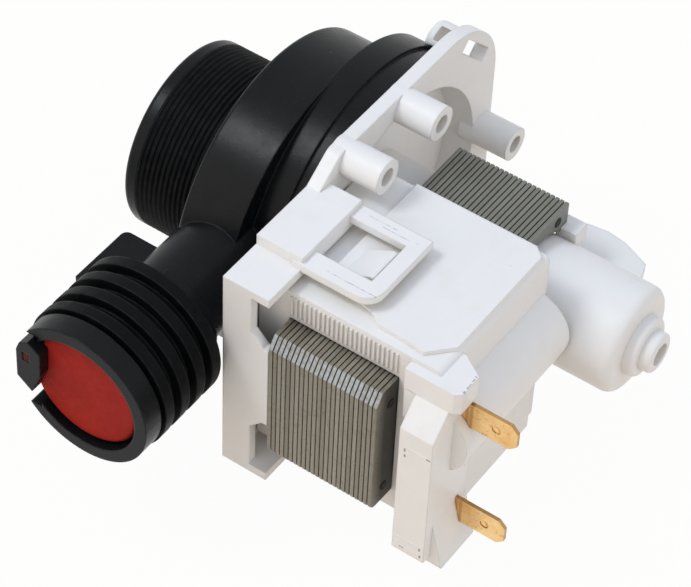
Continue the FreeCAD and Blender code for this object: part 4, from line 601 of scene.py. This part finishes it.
def core_plates():
    shape = bmesh.new()
    outline = plate_outline()
    for index in range(PLATES):
        start = core_low.x + index * PLATE_PITCH + (PLATE_PITCH - PLATE_GAUGE) / 2
        near = [shape.verts.new((start + splay(index, y), y, z)) for y, z in outline]
        far = [shape.verts.new((start + splay(index, y) + PLATE_GAUGE, y, z)) for y, z in outline]
        shape.faces.new(near)
        shape.faces.new(far[::-1])
        sew(shape, near, far)
    mesh = made_mesh("core_plates", shape)
    piece = new_piece("core_plates", mesh, "lamination_steel", "pump", "stator_core")
    bevel = piece.modifiers.new("punched_edge", "BEVEL")
    bevel.width = PUNCHED_EDGE
    bevel.segments = 2
    bevel.limit_method = "ANGLE"
    bevel.angle_limit = math.radians(PUNCHED_ANGLE)


core_plates()


def turned(name, profile, axis, places, slot, body, *stands_for, sides=32):
    """Turned mesh at each of the places: a profile of (radius, height) in millimetres about an axis."""
    shape = bmesh.new()
    tilt = Vector((0, 0, 1)).rotation_difference(Vector(axis)).to_matrix()
    for place in places:
        rings = []
        for radius, height in profile:
            rings.append(circle(shape, radius * MM, sides if radius else 1,
                                lambda x, y: Vector(place) + tilt @ Vector((x, y, height * MM))))
        for inner, outer in zip(rings, rings[1:]):
            sew(shape, inner, outer)
    new_piece(name, made_mesh(name, shape, smooth=True), slot, body, *stands_for)


# Interlock dimples that hold the plates together, on the rear plate; places are (y, z) in millimetres

INTERLOCK = [(0, 0.02), (0.50, 0.02), (0.72, 0.11), (0.95, 0.12), (1.15, -0.05)]
INTERLOCK_PLACES = [(-48.1, 10.0), (-48.9, -13.0), (6.6, 12.9), (6.6, -12.9)]
rear_plate = core_low.x + PLATES * PLATE_PITCH
turned("core_interlocks", INTERLOCK, (1, 0, 0),
       [(rear_plate + splay(PLATES - 1, y * MM), y * MM, z * MM) for y, z in INTERLOCK_PLACES],
       "rivet_steel", "pump", "core_rivets", sides=20)

# Pressed dimples that close the locking holes of the terminals

HOLE_DIMPLE = [(0, -0.10), (0.35, -0.02), (0.60, 0.12), (0.96, 0.16)]
HOLE_BACK = 4.5 * MM
for name in TERMINALS:
    low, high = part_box(name)
    centre = (high.x - HOLE_BACK, (low.y + high.y) / 2, (low.z + high.z) / 2)
    turned(name + "_dimple", HOLE_DIMPLE, (0, -1, 0), [centre], "terminal_brass", "pump", sides=24)

# Flap: one rubber disc with a rounded rim, over its clamped root

FLAP_EDGE = 0.35 * MM
FLAP_RINGS = 26
FLAP_SIDES = 96
flap_radius = (valve_high.z - valve_low.z) / 2
flap_x = valve_high.x - flap_radius
flap_z = (valve_high.z + valve_low.z) / 2


def flap_skin():
    shape = bmesh.new()
    rims = []
    for y, outward in ((valve_low.y, -1), (valve_high.y, 1)):
        inner = circle(shape, 0, 1, lambda x, z: (flap_x, y, flap_z))
        for step in range(1, FLAP_RINGS + 1):
            radius = flap_radius * (step / FLAP_RINGS)
            sink = FLAP_EDGE * max(0.0, (radius - (flap_radius - FLAP_EDGE)) / FLAP_EDGE) ** 2
            outer = circle(shape, radius, FLAP_SIDES,
                           lambda x, z: (flap_x + x, y - outward * sink, flap_z + z))
            sew(shape, inner, outer)
            inner = outer
        rims.append(inner)
    sew(shape, *rims)
    mesh = made_mesh("flap_skin", shape, smooth=True)
    piece = new_piece("flap_skin", mesh, "red_rubber", None, "flap_valve")
    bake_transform(piece)


flap_skin()


def rounded_block(name, low, high, radius, slot, body, *stands_for, finish=None):
    """Block between two corners, with rounded edges."""
    shape = bmesh.new()
    bmesh.ops.create_cube(shape, size=1.0)
    middle = (Vector(low) + Vector(high)) / 2
    size = Vector(high) - Vector(low)
    for corner in shape.verts:
        corner.co = middle + corner.co * size
    bmesh.ops.bevel(shape, geom=shape.edges[:], offset=radius, segments=4, profile=0.5, affect="EDGES")
    new_piece(name, made_mesh(name, shape), slot, body, *stands_for, finish=finish)


# Rubber nib that shows in the clip's window, darkened with painted shade

NIB_OUT = 11.5 * MM
NIB_UP = 4.1 * MM
NIB_WIDTH = 1.5 * MM
NIB_HEIGHT = 2.25 * MM
NIB_SINK = 0.3 * MM
BLOCK_ROUND = 0.25 * MM
nib_x = flap_x - NIB_OUT
nib_z = flap_z + NIB_UP
rounded_block("flap_nib", (nib_x - NIB_WIDTH / 2, root_low.y, nib_z - NIB_HEIGHT / 2),
              (nib_x + NIB_WIDTH / 2, valve_low.y + NIB_SINK, nib_z + NIB_HEIGHT / 2),
              BLOCK_ROUND, "red_rubber", "pump", "flap_root", finish="shaded_rubber")

# Front face of the terminal block, carried down beside the scoop to the column

BLOCK_FACE = 4.5 * MM
FACE_RISE = 7.0 * MM
FACE_FALL = 3.0 * MM
FACE_BACK = 0.06 * MM
FACE_DEPTH = 4.0 * MM
FACE_LAP = 0.5 * MM
TOP_LAP = 0.3 * MM
TOP_TOLERANCE = 1.0 * MM
OUTER_TOLERANCE = 0.05 * MM
FACE_TOLERANCE = 0.3 * MM
housing_points = [vertex.co for vertex in nodes["coil_housing"].data.vertices]
column = [point for point in housing_points if point.y < housing_low.y + OUTER_TOLERANCE]
column_front = min(point.x for point in column)
column_top = max(point.z for point in column)
face_y = housing_low.y + BLOCK_FACE
face_top = column_top + FACE_RISE
high_front = min(point.x for point in housing_points
                 if abs(point.y - face_y) < FACE_TOLERANCE and point.z > face_top - TOP_TOLERANCE)
rounded_block("block_face", (high_front, face_y + FACE_BACK, column_top - FACE_FALL),
              (column_front + FACE_LAP, face_y + FACE_DEPTH, face_top + TOP_LAP),
              BLOCK_ROUND, "white_plastic", "pump")


def backdrop_ray(tree):
    """One for camera, glossy and transmission rays."""
    ray = tree.nodes.new("ShaderNodeLightPath")
    total = ray.outputs["Is Camera Ray"]
    for name in ("Is Glossy Ray", "Is Transmission Ray"):
        either = tree.nodes.new("ShaderNodeMath")
        either.operation = "MAXIMUM"
        feed(tree, either.inputs[0], total)
        feed(tree, either.inputs[1], ray.outputs[name])
        total = either.outputs[0]
    return total


# Floor: warm pale paper, and white to the camera

FLOOR_REACH = 6.0
FLOOR_GAP = 0.2 * MM
PAPER = (0.82, 0.69, 0.55)
PAPER_ROUGHNESS = 0.9
WHITE = (1, 1, 1)
WHITE_SHARE = 0.965


def floor_paper():
    paper = bpy.data.materials.new("floor_paper")
    paper.use_nodes = True
    tree = paper.node_tree
    diffuse = tree.nodes["Principled BSDF"]
    feed(tree, diffuse.inputs["Base Color"], PAPER)
    feed(tree, diffuse.inputs["Roughness"], PAPER_ROUGHNESS)
    glow = tree.nodes.new("ShaderNodeEmission")
    feed(tree, glow.inputs["Color"], WHITE)
    feed(tree, glow.inputs["Strength"], 1.0)
    seen = tree.nodes.new("ShaderNodeMath")
    seen.operation = "MULTIPLY"
    feed(tree, seen.inputs[0], backdrop_ray(tree))
    feed(tree, seen.inputs[1], WHITE_SHARE)
    mix = tree.nodes.new("ShaderNodeMixShader")
    for socket, source in zip(mix.inputs, (seen, diffuse, glow)):
        feed(tree, socket, source.outputs[0])
    feed(tree, tree.nodes["Material Output"].inputs["Surface"], mix.outputs[0])
    return paper


floor_mesh = bpy.data.meshes.new("floor")
floor_corners = [(x * FLOOR_REACH, y * FLOOR_REACH, 0) for x, y in ((-1, -1), (1, -1), (1, 1), (-1, 1))]
floor_mesh.from_pydata(floor_corners, [], [(0, 1, 2, 3)])
floor_mesh.materials.append(floor_paper())
floor = bpy.data.objects.new("floor", floor_mesh)
floor.location.z = cad_low.z - FLOOR_GAP
bpy.context.scene.collection.objects.link(floor)
floor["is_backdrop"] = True

# Room: warm near the horizon, cool overhead, and white to the camera

HORIZON = (0.62, 0.54, 0.45)
OVERHEAD = (0.56, 0.63, 0.76)
OVERHEAD_FROM = 0.8
world = bpy.data.worlds.new("studio")
world.use_nodes = True
bpy.context.scene.world = world
tree = world.node_tree
sky_way = tree.nodes.new("ShaderNodeSeparateXYZ")
feed(tree, sky_way.inputs[0], tree.nodes.new("ShaderNodeTexCoord").outputs["Generated"])
height = tree.nodes.new("ShaderNodeMapRange")
feed(tree, height.inputs["Value"], sky_way.outputs["Z"])
feed(tree, height.inputs["From Max"], OVERHEAD_FROM)
room = colour_mix(tree, height.outputs[0], HORIZON, OVERHEAD)
sky = tree.nodes["Background"]
feed(tree, sky.inputs["Color"], colour_mix(tree, backdrop_ray(tree), room, WHITE))
feed(tree, sky.inputs["Strength"], 1.0)

# Lamps: direction from the pump, side of the square in metres, watts and colour

LAMP_DISTANCE = 1.0
LAMPS = {
    "key": ((-0.43, -0.34, 0.84), 0.28, 3.3, (0.92, 0.96, 1.0)),
    "fill": ((-0.37, -0.87, 0.33), 0.90, 1.8, (1.0, 0.84, 0.66)),
    "side": ((0.90, -0.10, 0.50), 0.60, 1.4, (0.97, 0.985, 1.0)),
}


def lamp(name, direction, size, watts, colour):
    """Square soft light aimed at the pump from a direction."""
    light = bpy.data.lights.new(name, "AREA")
    light.shape = "SQUARE"
    light.size = size
    light.energy = watts
    light.color = colour
    thing = bpy.data.objects.new(name, light)
    way = Vector(direction).normalized()
    thing.location = (cad_low + cad_high) / 2 + way * LAMP_DISTANCE
    thing.rotation_mode = "QUATERNION"
    thing.rotation_quaternion = (-way).to_track_quat("-Z", "Y")
    bpy.context.scene.collection.objects.link(thing)


for name, values in LAMPS.items():
    lamp(name, *values)

# Camera, as measured from the photograph

RIGHT = (0.816454, 0.576453, 0.033236)
UP = (-0.442832, 0.588184, 0.676712)
BACK = (0.370544, -0.567223, 0.735497)
CAMERA_PLACE = (0.215455, -0.341615, 0.412960)
PHOTO_WIDTH = 691
FOCAL_PIXELS = 2909.35
SENSOR = 36.0
FARTHEST = 20.0
camera_data = bpy.data.cameras.new("camera")
camera_data.sensor_width = SENSOR
camera_data.lens = FOCAL_PIXELS / PHOTO_WIDTH * SENSOR
camera_data.clip_end = FARTHEST
camera = bpy.data.objects.new("camera", camera_data)
camera.matrix_world = Matrix.Translation(CAMERA_PLACE) @ Matrix((RIGHT, UP, BACK)).transposed().to_4x4()
bpy.context.scene.collection.objects.link(camera)
bpy.context.scene.camera = camera
bpy.context.scene.view_settings.view_transform = "Standard"

low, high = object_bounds()
